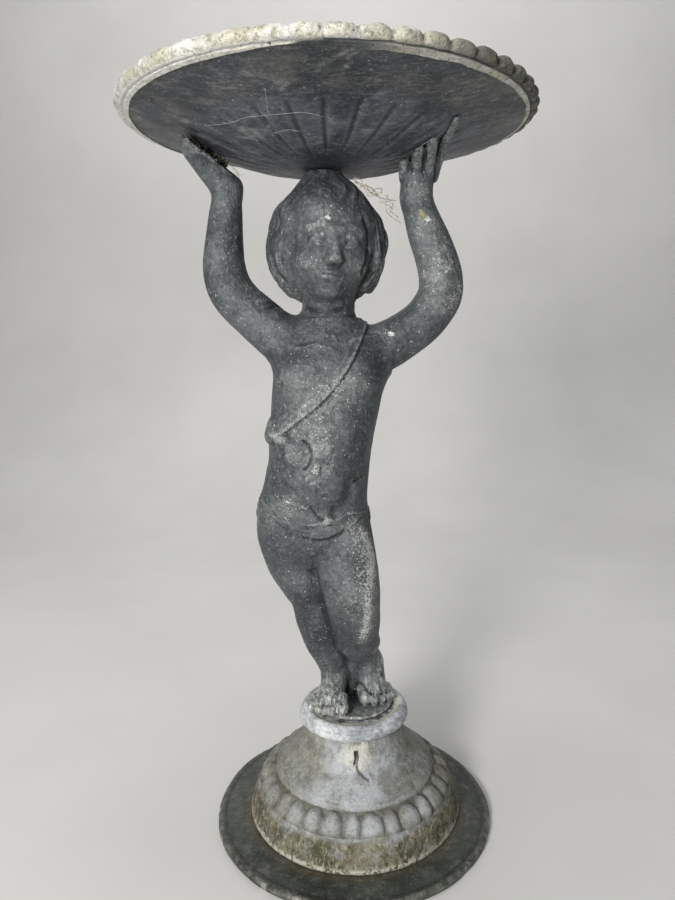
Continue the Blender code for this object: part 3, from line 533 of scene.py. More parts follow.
def sculpt_head(clay):
    """A calm child's face of plain design: eyes half way down, short nose, full cheeks."""
    clay.add(HEAD.ball((0, 7, 7), (48, 52, 54)), 8)
    clay.add(HEAD.ball((0, -14, -20), (39, 38, 44)), 12)
    clay.add(HEAD.ball((0, -23, 17), (38, 27, 30)), 12)
    clay.add(HEAD.ball((0, -38, -50), (12, 10, 10)), 12)
    clay.add(HEAD.ball((0, -44, -38), (13, 8, 10)), 8)
    for side in (-1, 1):
        clay.add(HEAD.ball((20 * side, -34, -28), (15, 14, 14)), 11)
        clay.cut(HEAD.ball((14.5 * side, -58, -5.5), (9, 8.5, 6)), 9)
        clay.add(HEAD.ball((14.5 * side, -42.8, -7.5), (8.2, 7.6, 6.8)), 2)
        upper_lid = ((6.5, -48.2, -8.6, 0.9), (10, -50.2, -5.2, 1.3), (14.5, -50.8, -3.8, 1.4),
                     (19, -48.8, -5.0, 1.3), (23, -45.0, -8.4, 0.8))
        lower_lid = ((7.5, -48.6, -9.8, 0.7), (11, -49.8, -12.0, 1.0), (15, -49.8, -12.6, 1.0),
                     (19, -47.9, -11.6, 0.9), (22.5, -45.0, -9.2, 0.6))
        brow = ((24, -43.6, 1.5, 2.2), (15, -48.0, 4.6, 2.6), (6, -49.4, 2.4, 2.4))
        for line, reach, blend in ((upper_lid, 8, 2.4), (lower_lid, 8, 2.4), (brow, 14, 10)):
            clay.add(HEAD.limb([(x * side, *rest) for x, *rest in line], reach=reach), blend)
        clay.add(HEAD.ball((4.8 * side, -52.6, -25.0), (3.2, 4.2, 3.0)), 3.2)
        clay.cut(HEAD.ball((2.6 * side, -56.0, -28.2), (1.2, 1.5, 1.0)), 1.4)
    clay.add(HEAD.limb(((0, -46, 2, 4.6), (0, -49.8, -12, 4.7), (0, -54.4, -23, 5.0))), 8)
    clay.cut(HEAD.limb(((0, -55.0, -31.0, 0.9), (0, -55.4, -34.2, 1.1))), 2.5)
    upper_lip = mirrored(((0, -52.6, -37.6, 2.0), (1.6, -52.7, -37.2, 2.2),
                          (4.4, -51.8, -37.8, 2.0), (8.6, -49.8, -39.6, 1.2)))
    lower_lip = mirrored(((0, -51.9, -42.7, 2.6), (3.2, -51.4, -42.4, 2.4),
                          (7, -49.6, -41.0, 1.5)))
    mouth = mirrored(((0, -54.9, -40.0, 0.8), (4.8, -53.8, -39.6, 0.8), (9.6, -50.8, -39.2, 0.7)))
    clay.add(HEAD.limb(upper_lip, reach=8), 4.2)
    clay.add(HEAD.limb(lower_lip, reach=8), 4.2)
    clay.cut(HEAD.limb(mouth, reach=6), 1.2)
    clay.cut(HEAD.limb(mirrored(((0, -54.6, -47.6, 2.0), (5, -53.4, -47.2, 1.6)))), 5)


HAIR_CENTRE = (0.5, 12.0, -13.0)
HAIR_RADII = (60.5, 53.0, 58.0)


def hair_point(around, down, lift):
    """A point over the hair: around from the front to the right, down from the crown."""
    spread = math.sin(down)
    return (HAIR_CENTRE[0] + (HAIR_RADII[0] + lift) * math.sin(around) * spread,
            HAIR_CENTRE[1] - (HAIR_RADII[1] + lift) * math.cos(around) * spread,
            HAIR_CENTRE[2] + (HAIR_RADII[2] + lift) * math.cos(down))


def curl(clay, around, down, lift, size, turn):
    """A snail of hair lying on the scalp."""
    centre = np.array(hair_point(math.radians(around), math.radians(down), lift))
    out = centre - HAIR_CENTRE
    out /= np.linalg.norm(out)
    side = np.cross((0, 0, 1.0), out)
    side /= np.linalg.norm(side)
    up = np.cross(out, side)
    points = []
    for step in range(13):
        share = step / 12
        angle = turn + math.tau * 1.15 * share
        spiral = size * (1 - 0.8 * share)
        place = centre + spiral * (math.cos(angle) * side + math.sin(angle) * up)
        points.append((*(place + 1.6 * share * out), size * (0.38 - 0.1 * share)))
    clay.add(HEAD.limb(points, 3, reach=8), 2.6)


def hair_waves(x, y, z):
    """Height of the wavy locks and their strands, where hair grows."""
    spots = np.stack(np.broadcast_arrays(x, y, z), -1) - HEAD.origin
    own = spots @ HEAD.axes - np.array(HAIR_CENTRE)
    own = own / np.array(HAIR_RADII)
    around = np.arctan2(own[..., 0], -own[..., 1])
    far = np.maximum(np.linalg.norm(own, axis=-1), 1e-6)
    down = np.arccos(np.clip(own[..., 2] / far, -1.0, 1.0))
    turned = (around + 0.1 * np.sin(6.0 * down + 3.0 * np.sin(2.0 * around))
              + 0.04 * np.sin(13.0 * down + 5.0 * around))
    lock = 0.5 + 0.5 * np.cos(19 * turned + 1.4 * np.sin(3 * around))
    strand = 0.5 + 0.5 * np.cos(76 * turned + 1.5 * np.sin(9 * down))
    front = ease(math.radians(54), math.radians(42), np.abs(around + 0.06))
    face = front * ease(math.radians(50), math.radians(60), down)
    worn = 1.0 - 0.35 * ease(math.radians(120), math.radians(60), np.abs(around + 0.9))
    grows = (1 - face) * worn * ease(2.75, 2.5, down) * ease(0.15, 0.5, down)
    grows = grows * (0.62 + 0.38 * ease(0.75, 1.15, down))
    return grows * (3.0 * (lock ** 0.7 - 0.62) + 1.1 * (strand - 0.5))


def sculpt_hair(clay):
    clay.add(HEAD.ball(HAIR_CENTRE, HAIR_RADII), 3)
    clay.add(HEAD.ball((-31, 10, 11), (25, 38, 25)), 9)
    clay.add(HEAD.ball((33, 10, 12), (25, 38, 24)), 9)
    crown = ((-22, 13, 640, 42), (-25, 12, 668, 28), (-25, 11, 686, 19), (-25, 11, 697, 17))
    clay.add(limb(crown), 9)
    clay.add(HEAD.ball((0, -18, -26), (38, 33, 40)), 3)
    clay.emboss((-92, -56, 560), (52, 76, 688), hair_waves)
    tufts = 9
    for number in range(tufts):
        angle = math.tau * (number + 0.3 * math.sin(5.0 * number)) / tufts
        x, y = -25 + 15.5 * math.cos(angle), 11 + 15.5 * math.sin(angle)
        tuft = [(x + out * math.cos(angle), y + out * math.sin(angle), height, radius)
                for out, height, radius in ((9, 671, 5.0), (2, 683, 4.2), (0, 697, 3.6))]
        clay.add(limb(tuft), 4)
    for around, phase in ((50, 0.3), (63, 2.1), (77, 4.0), (92, 0.9), (107, 2.9)):
        points = []
        for down in range(44, 134, 9):
            wave = math.radians(down) * 4.6 + phase
            place = hair_point(math.radians(around + 4.0 * math.sin(wave)), math.radians(down),
                               -0.5 + 1.6 * math.sin(1.3 * wave + 1.0))
            points.append((*place, 5.4 + 1.3 * math.sin(1.7 * wave + phase)))
        clay.add(HEAD.limb(points, 3, reach=8), 2.2)
        gap = [((x - 0.9) * 1.05, (y - 2.6) * 1.05, z, 0.7) for x, y, z, radius in points[:-1]]
        clay.cut(HEAD.limb(gap, 3, reach=6), 1.5)
    for shape in ((104, 124, -2.5, 8.5, 0.2), (136, 120, -2.0, 9.5, 2.4),
                  (160, 132, -2.5, 9.5, 5.0), (186, 122, -2.5, 9.5, 1.5),
                  (206, 136, -2.5, 9.5, 3.9), (232, 124, -2.5, 9.5, 0.9),
                  (256, 138, -2.8, 9.0, 4.6), (276, 118, -3.0, 9.0, 2.8),
                  (290, 138, -3.0, 8.0, 0.6)):
        curl(clay, *shape)
    near_cheek = ((15, 642), (18.5, 634), (19.5, 624), (19, 612), (16.5, 600), (13, 590))
    clay.groove(near_cheek, 2.0, 0.2, 3.0)


def sculpt_marks(clay):
    """Collar bones, navel, rolls and creases of the bare body."""
    clay.ridge(((-56, 519), (-50, 520.6), (-44, 521), (-38, 522.5), (-31, 522), (-25, 520.5),
                (-18, 519)), 0.8, 0.35, 2)
    clay.ridge(((-2, 524), (12, 529), (26, 531)), 0.8, 0.4, 3)
    x, y, z = -33.0, clay.skin(-33.0, 400), 400
    clay.cut(ball((x, y - 1.2, z), (5.5, 2.6, 8.0)), 4)
    clay.add(ball((x + 0.6, y + 0.6, z - 1.5), (2.6, 2.2, 4.4)), 1.5)
    clay.add(ball((x, y + 0.8, z + 5.5), (4.0, 1.8, 2.0)), 2)
    clay.groove(((8, 388), (2, 384), (0, 376), (-3, 366), (-8, 359), (-18, 356)), 3.4, -2.4, 12, 14)
    clay.groove(((15, 390), (10, 387.5), (3, 385)), 1.2, -0.5, 3, 14)
    for x, z in ((-51, 481), (6, 487)):
        clay.add(ball((x, clay.skin(x, z) + 0.9, z), (2.2, 1.8, 2.2)), 1.5)


SASH = smooth_path(((16, 560), (9, 537), (0, 516), (-9.5, 499), (-19.5, 485.5), (-30, 474),
                    (-42, 463.5), (-54, 455), (-67, 445.5), (-84, 432)), 4)
SASH_HALF = 7.2


def sculpt_sash(clay):
    """A band of cloth over one shoulder, knotted at the other hip; its lower edge is crisp."""
    spans, (x, y, z) = clay.window((-96, -66, 420), (32, 62, 566))
    skin = clay.depth[spans]
    aside = beside(SASH, x, z)
    folds = 0.22 * np.cos(math.tau * (aside - 1.0) / 5.2) * ease(7.0, 3.0, np.abs(aside))
    thick = 1.25 + folds - 0.95 * ease(1.0, 7.0, aside)
    thick = thick + 0.55 * np.exp(-((aside + 6.0) / 1.2) ** 2)
    band = np.maximum(np.abs(aside) - SASH_HALF, skin - thick)
    clay.depth[spans] = smooth_min(skin, band, 0.5)
    run = np.gradient(SASH, axis=0)
    run /= np.linalg.norm(run, axis=1)[:, None]
    lower_edge = SASH - (SASH_HALF + 1.0) * np.column_stack((run[:, 1], -run[:, 0]))
    clay.groove(lower_edge[5:-5:3], 0.75, -0.15, 0.6)


def knot_shell(x, y, z):
    """Ridges that run round a point of the cloth's hanging end."""
    away = np.sqrt(((x + 66) * 0.95) ** 2 + ((z - 426) * 0.85) ** 2)
    inside = ease(1.0, 0.75, ((x + 53) / 13.5) ** 2 + ((z - 415.5) / 15) ** 2) * (y < -28)
    return inside * (0.24 * np.cos(math.tau * away / 3.3) + 0.25)


def sculpt_knot(clay):
    clay.add(ball((-79.5, -15, 435), (8.0, 12, 15)), 5)
    clay.add(ball((-84, -16, 431), (5.0, 7, 7.5)), 3)
    clay.add(limb(((-80, -24, 433, 5), (-70, -36, 430, 4.6), (-62, -43, 424, 4))), 4)
    clay.add(ball((-53, -44.5, 415), (13, 8.5, 14)), 5)
    middle = np.array((-77.0, 433.5))
    for degrees, length, radius in ((22, 16, 1.1), (46, 20, 1.3), (68, 20, 1.1), (90, 16, 1.1),
                                    (116, 11, 1.0), (-10, 13, 1.2), (-42, 12, 1.1),
                                    (-80, 10, 1.0)):
        angle = math.radians(degrees)
        way = np.array((math.cos(angle), math.sin(angle)))
        points = [middle + way * length * share for share in (0.15, 0.45, 0.75, 1.0)]
        clay.ridge(points, 0.8 * radius, 0.2, 1.0, 6)
    clay.add(ball((-78, -32.5, 433.5), (4.5, 4.0, 3.6)), 2)
    clay.emboss((-78, -66, 396), (-36, -28, 436), knot_shell)
    crescent = ((-47.5, 431), (-42, 426), (-39, 419), (-38.8, 411), (-42, 404), (-47, 400.5))
    clay.groove(crescent, 1.5, -0.1, 1.2)
    clay.groove(((-66.5, 424), (-65.5, 414), (-61, 405), (-54, 401)), 0.9, -0.2, 1.5)


def sculpt_loincloth(clay):
    """A thin strip of cloth about the hips, tied in front, with folds that run to the knot."""
    spans, (x, y, z) = clay.window((-106, -62, 300), (28, 66, 380))
    skin = clay.depth[spans]
    front = (y < 0)
    over_hip = 361 + 0.0025 * (x + 50) ** 2
    over_thigh = 347 + 0.0015 * (x + 10) ** 2 + 13 * ease(-30, -42, x)
    upper = np.where(front, np.where(x < -40, over_hip, over_thigh), 347 + 0.002 * (x + 10) ** 2)
    lower = np.where(front, 326.5 + 0.0098 * (x + 34) ** 2, 322 + 0.0045 * (x + 36) ** 2)
    share = (z - lower) / np.maximum(upper - lower, 1.0)
    folds = 0.22 * np.cos(math.tau * (2.3 * share + 0.02 * (x + 28)))
    thick = 1.15 + folds - 0.6 * ease(0.55, 1.0, share) * front
    band = np.maximum(np.maximum(z - upper, lower - z), skin - thick)
    clay.depth[spans] = smooth_min(skin, band, 0.8)
    for points, radius in (
            (((-70, 369), (-64, 366), (-57, 364), (-50, 362), (-45, 360)), 1.6),
            (((-68, 362), (-60, 359.5), (-51, 359)), 0.9),
            (((-56, 343), (-48, 342.5), (-39, 342.5), (-28, 344)), 1.3),
            (((-22, 346), (-14, 347), (-6, 350), (2, 351), (10, 350), (18, 349)), 1.3),
            (((-70, 352), (-66, 347), (-61, 341), (-55, 336)), 1.3),
            (((-48, 350), (-40, 347.5), (-32, 345.5)), 0.9),
            (((-26, 343), (-20, 338), (-15, 334)), 0.9)):
        clay.ridge(points, radius, 0.3, 1.2)
    for points, radius in (
            (((-41, 361), (-37.5, 356), (-33, 350), (-28.5, 346.5)), 1.6),
            (((-50, 329.5), (-40, 326), (-27, 326), (-14, 329.5), (-6, 336)), 1.6),
            (((-24, 341), (-16, 341), (-7, 343)), 1.0),
            (((-56, 339), (-44, 338), (-34, 339.5)), 0.8)):
        clay.groove(points, radius, -0.3, 1.2)
    clay.add(ball((-23.5, clay.skin(-23.5, 346.5) + 1.0, 346.5), (4.6, 3.8, 3.8)), 1.6)
    clay.add(ball((-28, clay.skin(-28, 343.5) + 0.8, 343.5), (3.6, 2.6, 2.4)), 1.2)


def sculpt_plate(clay):
    """A flat round plate with sharp edges under the feet."""
    low = PLATE_TOP - 10

    def distance(x, y, z):
        level = np.maximum(z - PLATE_TOP, low - z)
        return np.maximum(np.sqrt(x ** 2 + y ** 2) - PLATE_RADIUS, level)

    corners = (-PLATE_RADIUS, -PLATE_RADIUS, low), (PLATE_RADIUS, PLATE_RADIUS, PLATE_TOP)
    clay.add((*corners, distance), 1.5)


def belly_height(radius):
    """Height of the bowl's underside over the ground without flutes and before its tilt."""
    share = np.clip((radius - BELLY_FLAT_RADIUS) / (BELLY_RADIUS - BELLY_FLAT_RADIUS), 0.0, 1.0)
    belly = BELLY_BOTTOM + (BELLY_EDGE - BELLY_BOTTOM) * share ** BELLY_CURVE
    brim = np.maximum(radius - BELLY_RADIUS, 0.0) / (BRIM_RADIUS - BELLY_RADIUS)
    return belly + (BRIM_EDGE - BELLY_EDGE) * brim


def into_bowl(x, y, z):
    """How far a place reaches into the bowl or the little air under it."""
    aside = x - BOWL_CENTRE.x / MM
    across = y - BOWL_CENTRE.y / MM
    under = belly_height(np.sqrt(aside ** 2 + across ** 2) * MM) / MM
    tilt = across * math.tan(BOWL_TILT_X) - aside * math.tan(BOWL_TILT_Y)
    return 0.95 * (z - (under + tilt - BOWL_CLEARANCE))


def sculpt_figure():
    clay = Clay(CLAY_LOW, CLAY_HIGH, CLAY_STEP)
    for sculpt in (sculpt_trunk, sculpt_legs, sculpt_arms, sculpt_neck, sculpt_marks, sculpt_sash,
                   sculpt_knot, sculpt_loincloth, sculpt_feet, sculpt_head, sculpt_hair,
                   sculpt_hands, sculpt_plate):
        sculpt(clay)
    clay.trim((-176, -86, 680), (126, 78, 726), into_bowl)
    clay.trim(CLAY_LOW, CLAY_HIGH, lambda x, y, z: PLATE_FOOT - z)
    return clay


def fill_pinches(inside):
    """Fills grid points until no two parts of the body touch by an edge or a corner alone."""
    while True:
        before = int(inside.sum())
        for a, b in ((0, 1), (0, 2), (1, 2)):
            one = np.swapaxes(np.swapaxes(inside, 0, a), 1, b)
            p, q = one[:-1, :-1], one[1:, 1:]
            r, s = one[1:, :-1], one[:-1, 1:]
            r |= p & q & ~r & ~s
            p |= r & s & ~p & ~q
        if int(inside.sum()) == before:
            return inside


def clay_surface(clay):
    """Vertices and quads of the clay's skin: one vertex in each grid cell that it crosses."""
    depth = clay.depth
    for axis in range(3):
        border = np.moveaxis(depth, axis, 0)
        border[0] = border[-1] = clay.step
    inside = fill_pinches(depth < 0)
    depth[inside & (depth >= 0)] = -0.05 * clay.step
    cells = tuple(n - 1 for n in depth.shape)
    total = np.zeros(cells + (3,), np.float32)
    hits = np.zeros(cells, np.int16)
    crossings = []
    for axis in range(3):
        layers = np.moveaxis(depth, axis, 0)
        low, high = (np.moveaxis(part, 0, axis) for part in (layers[:-1], layers[1:]))
        where = np.argwhere((low < 0) != (high < 0))
        first, second = low[tuple(where.T)], high[tuple(where.T)]
        points = where.astype(np.float32)
        points[:, axis] += first / (first - second)
        u, v = ((1, 2), (2, 0), (0, 1))[axis]
        crossings.append((where, first < 0, u, v))
        others = sorted((u, v))
        for shift in product((0, 1), repeat=2):
            cell = where.copy()
            cell[:, others] -= shift
            good = ((cell >= 0) & (cell < cells)).all(1)
            index = tuple(cell[good].T)
            np.add.at(hits, index, 1)
            np.add.at(total, index, points[good])
    used = hits > 0
    number = np.full(cells, -1, np.int64)
    number[used] = np.arange(int(used.sum()))
    verts = clay.low + clay.step * (total[used] / hits[used][:, None])
    faces = []
    for where, falls, u, v in crossings:
        corners = []
        for du, dv in ((0, 0), (1, 0), (1, 1), (0, 1)):
            cell = where.copy()
            cell[:, u] -= 1 - du
            cell[:, v] -= 1 - dv
            corners.append(number[tuple(cell.T)])
        quads = np.stack(corners, 1)
        quads[~falls] = quads[~falls][:, ::-1]
        faces.append(quads)
    return verts, np.vstack(faces)


# meshes

def mesh_from(name, verts, faces):
    """A mesh from arrays; faces all have the same number of corners."""
    mesh = bpy.data.meshes.new(name)
    corners = faces.shape[1]
    mesh.vertices.add(len(verts))
    mesh.vertices.foreach_set("co", np.asarray(verts, np.float32).ravel())
    mesh.loops.add(faces.size)
    mesh.loops.foreach_set("vertex_index", faces.ravel().astype(np.int32))
    mesh.polygons.add(len(faces))
    mesh.polygons.foreach_set("loop_start", np.arange(0, faces.size, corners, dtype=np.int32))
    mesh.update(calc_edges=True)
    mesh.validate()
    return mesh


def read(items, name):
    """Three numbers of every item, in rows."""
    flat = np.empty(len(items) * 3, np.float32)
    items.foreach_get(name, flat)
    return flat.reshape(-1, 3)


def mark(mesh, name, values):
    """Stores a number from 0 to 1 on every vertex for the material."""
    layer = mesh.attributes.new(name, "FLOAT", "POINT")
    layer.data.foreach_set("value", np.clip(values, 0.0, 1.0).astype(np.float32))


def new_piece(name, mesh, material, node=None):
    mesh.materials.append(material)
    mesh.shade_smooth()
    piece = bpy.data.objects.new(name, mesh)
    bpy.context.scene.collection.objects.link(piece)
    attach(piece, "root")
    if node:
        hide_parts(node)


def decimated(mesh, triangles):
    """The same mesh with about that many triangles."""
    mesh.calc_loop_triangles()
    if len(mesh.loop_triangles) <= triangles:
        return mesh
    holder = bpy.data.objects.new("holder", mesh)
    bpy.context.scene.collection.objects.link(holder)
    reduce = holder.modifiers.new("reduce", "DECIMATE")
    reduce.ratio = triangles / len(mesh.loop_triangles)
    deps = bpy.context.evaluated_depsgraph_get()
    result = bpy.data.meshes.new_from_object(holder.evaluated_get(deps))
    bpy.data.objects.remove(holder, do_unlink=True)
    return result


# the child

def on_front(clay, lines):
    """The places (x, y, z, reach, strength) of lines laid on the front skin."""
    return [(x, clay.skin(x, z), z, reach, strength)
            for line, reach, strength in lines for x, z in smooth_path(line, 4)]


def near_places(verts, places):
    """How strongly each vertex lies in one of the places, from 0 up."""
    result = np.zeros(len(verts))
    for x, y, z, reach, strength in places:
        away = np.sqrt(((verts - (x, y, z)) ** 2).sum(1)) / reach
        result = np.maximum(result, strength * np.clip(1.25 - away, 0.0, 1.0))
    return result


def skin_bend(clay, verts):
    """How much the skin bends at each vertex: above 0 on ridges, below 0 in hollows."""
    here = clay.sample(verts)
    bend = 0.0
    for reach, weight in ((2.6, 1.3), (6.0, 2.2)):
        total = -6 * here
        for axis, way in product(range(3), (-1, 1)):
            moved = verts.copy()
            moved[:, axis] += way * reach
            total = total + clay.sample(moved)
        bend = bend + weight * total / reach
    return bend


def figure_marks(mesh, clay):
    """Marks of the child, read from the clay and from the named places."""
    verts = read(mesh.vertices, "co").astype(float) / MM
    on_plate = verts[:, 2] < PLATE_TOP + 1
    bend = skin_bend(clay, verts)
    mark(mesh, "hollow", -bend * 0.35)
    mark(mesh, "ridge", bend * 0.35)
    # painted shade, stored as the mark dark
    mark(mesh, "dark", near_places(verts, PAINTED_SHADE))
    # white dirt, with painted light on the right thigh
    mark(mesh, "spot", near_places(verts, on_front(clay, DIRT_AND_PAINTED_LIGHT)))
    mark(mesh, "lichen", near_places(verts, on_front(clay, LICHEN)))
    # pale bloom, with painted light on the right thigh and the right forearm
    bloom = near_places(verts, BLOOM_AND_PAINTED_LIGHT)
    bloom = bloom * (1 + 0.35 * layered(verts, 17.0)) + 0.16 * layered(verts, 30.0)
    mark(mesh, "bloom", np.where(on_plate, 0.3, bloom))
    frost = ease(176, 150, verts[:, 2] + 8 * layered(verts, 18.0))
    frost = frost * ease(8, -26, verts[:, 1] + 6 * layered(verts, 9.0))
    side = ease(22, 34, verts[:, 0] + 4 * layered(verts, 9.0)) * (verts[:, 2] < 190)
    frost = np.maximum(frost, 0.9 * side)
    plate = 0.85 * ease(39.5, 41.5, np.hypot(verts[:, 0], verts[:, 1]) + layered(verts, 9.0))
    mark(mesh, "frost", np.where(on_plate, plate, frost))


def make_figure(material):
    clay = sculpt_figure()
    verts, faces = clay_surface(clay)
    mesh = decimated(mesh_from("cherub_cast", verts * MM, faces), FIGURE_TRIANGLES)
    verts = read(mesh.vertices, "co").astype(float) / MM
    lumps = 0.3 * layered(verts, 15.0, 2) + 0.1 * rough(verts, 4.0)
    outward = read(mesh.vertex_normals, "vector") * (lumps - 0.25)[:, None]
    outward[verts[:, 2] < SMOOTH_BELOW] = 0.0
    mesh.vertices.foreach_set("co", ((verts + outward) * MM).astype(np.float32).ravel())
    mesh.update()
    figure_marks(mesh, clay)
    new_piece("cherub_cast", mesh, material, "cherub")


# turned pieces

def even_outline(points, count):
    """An outline cut into equal steps."""
    path = np.array(points, float)
    run = np.concatenate(([0.0], np.cumsum(np.linalg.norm(np.diff(path, axis=0), axis=1))))
    steps = np.linspace(0.0, run[-1], count)
    return np.column_stack([np.interp(steps, run, path[:, k]) for k in range(2)])


class Turned:
    """A closed turned surface, with an angle, radius and height for each column and row."""

    def __init__(self, columns, outline):
        self.shape = (len(outline), columns)
        self.angle = np.tile(np.arange(columns) * math.tau / columns, len(outline))
        self.row = np.repeat(np.arange(len(outline)), columns)
        self.radius, self.height = outline[self.row, 0], outline[self.row, 1]
        self.points = self.around(self.radius, self.height)
        run = np.gradient(outline, axis=0)
        normal = np.column_stack((run[:, 1], -run[:, 0]))
        normal /= np.maximum(np.linalg.norm(normal, axis=1), 1e-9)[:, None]
        self.out, self.up = normal[self.row, 0], normal[self.row, 1]
        self.marks = {}

    def around(self, radius, height=0.0):
        """Points at these radii and heights; angle 0 is in front, a quarter turn is right."""
        level = height * np.ones(len(self.angle))
        return np.column_stack((radius * np.sin(self.angle), -radius * np.cos(self.angle), level))

    def make(self, verts, material, node, move=None):
        """Turns the vertices into the piece that replaces a node."""
        index = np.arange(len(self.row)).reshape(self.shape)
        after = np.roll(index, -1, axis=1)
        faces = np.stack((index[:-1], after[:-1], after[1:], index[1:]), -1).reshape(-1, 4)
        mesh = mesh_from(node + "_cast", verts, faces)
        for name, values in self.marks.items():
            mark(mesh, name, values)
        if move:
            mesh.transform(move)
        new_piece(node + "_cast", mesh, material, node)


def to_crack(azimuth, height):
    """Distance to the crack that runs down from the slot."""
    nearest = np.full(len(azimuth), FAR)
    for a, b in zip(CRACK, CRACK[1:]):
        start = np.array((math.radians(a[0]) * CRACK_RADIUS, a[1]))
        run = np.array((math.radians(b[0]) * CRACK_RADIUS, b[1])) - start
        px, pz = azimuth * CRACK_RADIUS - start[0], height - start[1]
        share = np.clip((px * run[0] + pz * run[1]) / (run @ run), 0.0, 1.0)
        nearest = np.minimum(nearest, np.hypot(px - run[0] * share, pz - run[1] * share))
    return nearest


def make_base(material):
    """Lip, band, egg ring and bell, with the slot and its crack in front."""
    band = even_outline(BAND, 26 * FINER)
    eggs = even_outline((BAND[-1], BELL[0]), 18 * FINER)
    outline = np.vstack((band, eggs[1:], even_outline(BELL, 38 * FINER)[1:]))
    part = Turned(EGG_COUNT * 10 * FINER, outline)
    angle, radius, height, points, marks = (part.angle, part.radius, part.height, part.points,
                                            part.marks)
    egg_share = np.clip((np.arange(len(outline)) - len(band) + 1) / (len(eggs) - 1), 0.0, 1.0)
    on_eggs = ((egg_share > 0) & (egg_share < 1))[part.row]

    centre = (angle - EGG_PHASE) / math.tau * EGG_COUNT
    centre = centre + 0.07 * np.sin(3.1 * centre) + 0.05 * rough(part.around(0.1), 0.017)
    across = 2 * np.abs(centre - np.round(centre))
    along = 2 * egg_share[part.row] - 1 + 0.1 * rough(part.around(0.1, 0.3), 0.012)
    along = along + 0.1
    oval = np.abs(across * (1.0 + 0.1 * along)) ** 2.2 + np.abs(along * 1.02) ** 2.3
    egg = np.where(on_eggs, np.clip(1 - oval, 0.0, 1.0) ** 0.65, 0.0)
    worn = 0.86 + 0.1 * np.sin(5.0 * np.round(centre)) + 0.06 * np.cos(11.0 * np.round(centre))
    bump = on_eggs * (EGG_HEIGHT * worn * egg - 0.0006 * (1 - egg))
    bump = bump + 0.0003 * layered(points, 0.02) + 0.00012 * rough(points, 0.004)
    rustic = ease(0.045, 0.03, height) * ease(0.0135, 0.0165, height)
    bump = bump + 0.00045 * rustic * layered(points + 3.0, 0.0035, 2)
    ring = np.exp(-((height - 0.0592) / 0.001) ** 2) - np.exp(-((height - 0.0612) / 0.0007) ** 2)
    bump = bump + 0.00045 * ring * (height > 0.045)

    azimuth = (angle + math.pi) % math.tau - math.pi
    aside = (azimuth - SLOT_PLACE[0]) * radius + 0.0011 * rough(points * (0, 0, 1), 0.0045)
    above = height - SLOT_PLACE[1]
    edge = np.maximum(np.abs(aside) / SLOT_HALF[0], np.abs(above) / SLOT_HALF[1])
    slot = ease(1.18, 0.86, edge) * (radius > 0.04)
    thin = 0.0004 * ease(0.086, 0.078, height)
    away = to_crack(azimuth, height) + thin + 0.0005 * rough(points, 0.003)
    crack = ease(0.0015, 0.0004, away) * (radius > 0.04)
    bump = bump - SLOT_DEPTH * slot - 0.0018 * crack
    bump = np.maximum(np.where(radius < 0.03, 0.0, bump), -0.006)

    marks["hollow"] = np.maximum(on_eggs * (1 - egg) * 0.9, np.maximum(slot, crack))
    # painted shade: the bell darkens just under the collar, kept with the hollows
    painted_shade_under_collar = ease(0.1085, 0.1108, height + 0.0006 * layered(points, 0.006))
    marks["hollow"] = np.maximum(marks["hollow"], painted_shade_under_collar * (radius > 0.04))
    marks["ridge"] = np.maximum(on_eggs * egg ** 3 * 0.7, np.maximum(ring, 0.0) * (height > 0.05))
    cream = 1.2 - np.hypot(aside / 0.024, (above - 0.001) / 0.017) + 0.25 * layered(points, 0.012)
    marks["bloom"] = np.clip(cream, 0.0, 1.0) * (1 - slot)
    # painted shade in the slot, darkest under its top edge, and in the crack
    marks["slot_dark"] = np.maximum(slot * ease(-1.3, 0.6, above / SLOT_HALF[1]), crack)
    marks["pale_edge"] = (ease(0.015, 0.0128, height + 0.0012 * layered(points, 0.006))
                          * (radius > 0.1))
    lichen = ease(0.0415, 0.033, height + 0.004 * layered(points, 0.014))
    left = 0.6 * ease(-0.05, -0.1, points[:, 0]) * ease(0.075, 0.055, height)
    sides = 0.52 * ease(0.4, 0.85, np.abs(np.sin(azimuth - 0.1)) + 0.15 * layered(points, 0.03))
    marks["frost"] = np.maximum(np.maximum(lichen, left), sides)
    height = np.minimum(np.maximum(height + part.up * bump, BASE_FOOT), BELL_TOP)
    verts = part.around(radius + part.out * bump, height) + np.array(Vector(BASE_CENTRE))
    part.make(verts, material, "bell_base")


def make_collar(material):
    """A rolled ring with a shallow dish on top; its roll hangs lower on the left."""
    part = Turned(256, even_outline(ROLL, 96))
    radius, height, points, marks = part.radius, part.height, part.points, part.marks
    share = np.sin(math.pi * np.clip((height - COLLAR_FOOT) / (COLLAR_TOP - COLLAR_FOOT), 0, 1))
    drop = 0.002 * share * (1 - np.sin(part.angle)) * ease(0.046, 0.052, radius)
    bump = 0.00045 * layered(points, 0.016) + 0.00016 * rough(points, 0.0035)
    ragged = ease(0.115, 0.1125, height) * (radius > 0.05)
    bump = bump - 0.0008 * ragged * (0.5 + 0.5 * layered(points, 0.006, 2))
    bump = np.minimum(bump, 0.0) * (radius > 0.03)
    dish = radius + 0.0006 * layered(points, 0.009)
    marks["hollow"] = ease(0.0458, 0.0446, dish)
    marks["ridge"] = ease(0.0565, 0.06, radius)
    marks["bloom"] = 0.5 + 0.5 * layered(points, 0.02)
    marks["low_edge"] = ease(0.1165, 0.1135, height) * (radius > 0.048)
    marks["frost"] = ease(0.0505, 0.0492, dish) * ease(0.044, 0.0456, dish) * (height > 0.12)
    height = np.clip(height + part.up * bump - drop, COLLAR_FOOT, COLLAR_TOP)
    part.make(part.around(radius + part.out * bump, height), material, "collar")


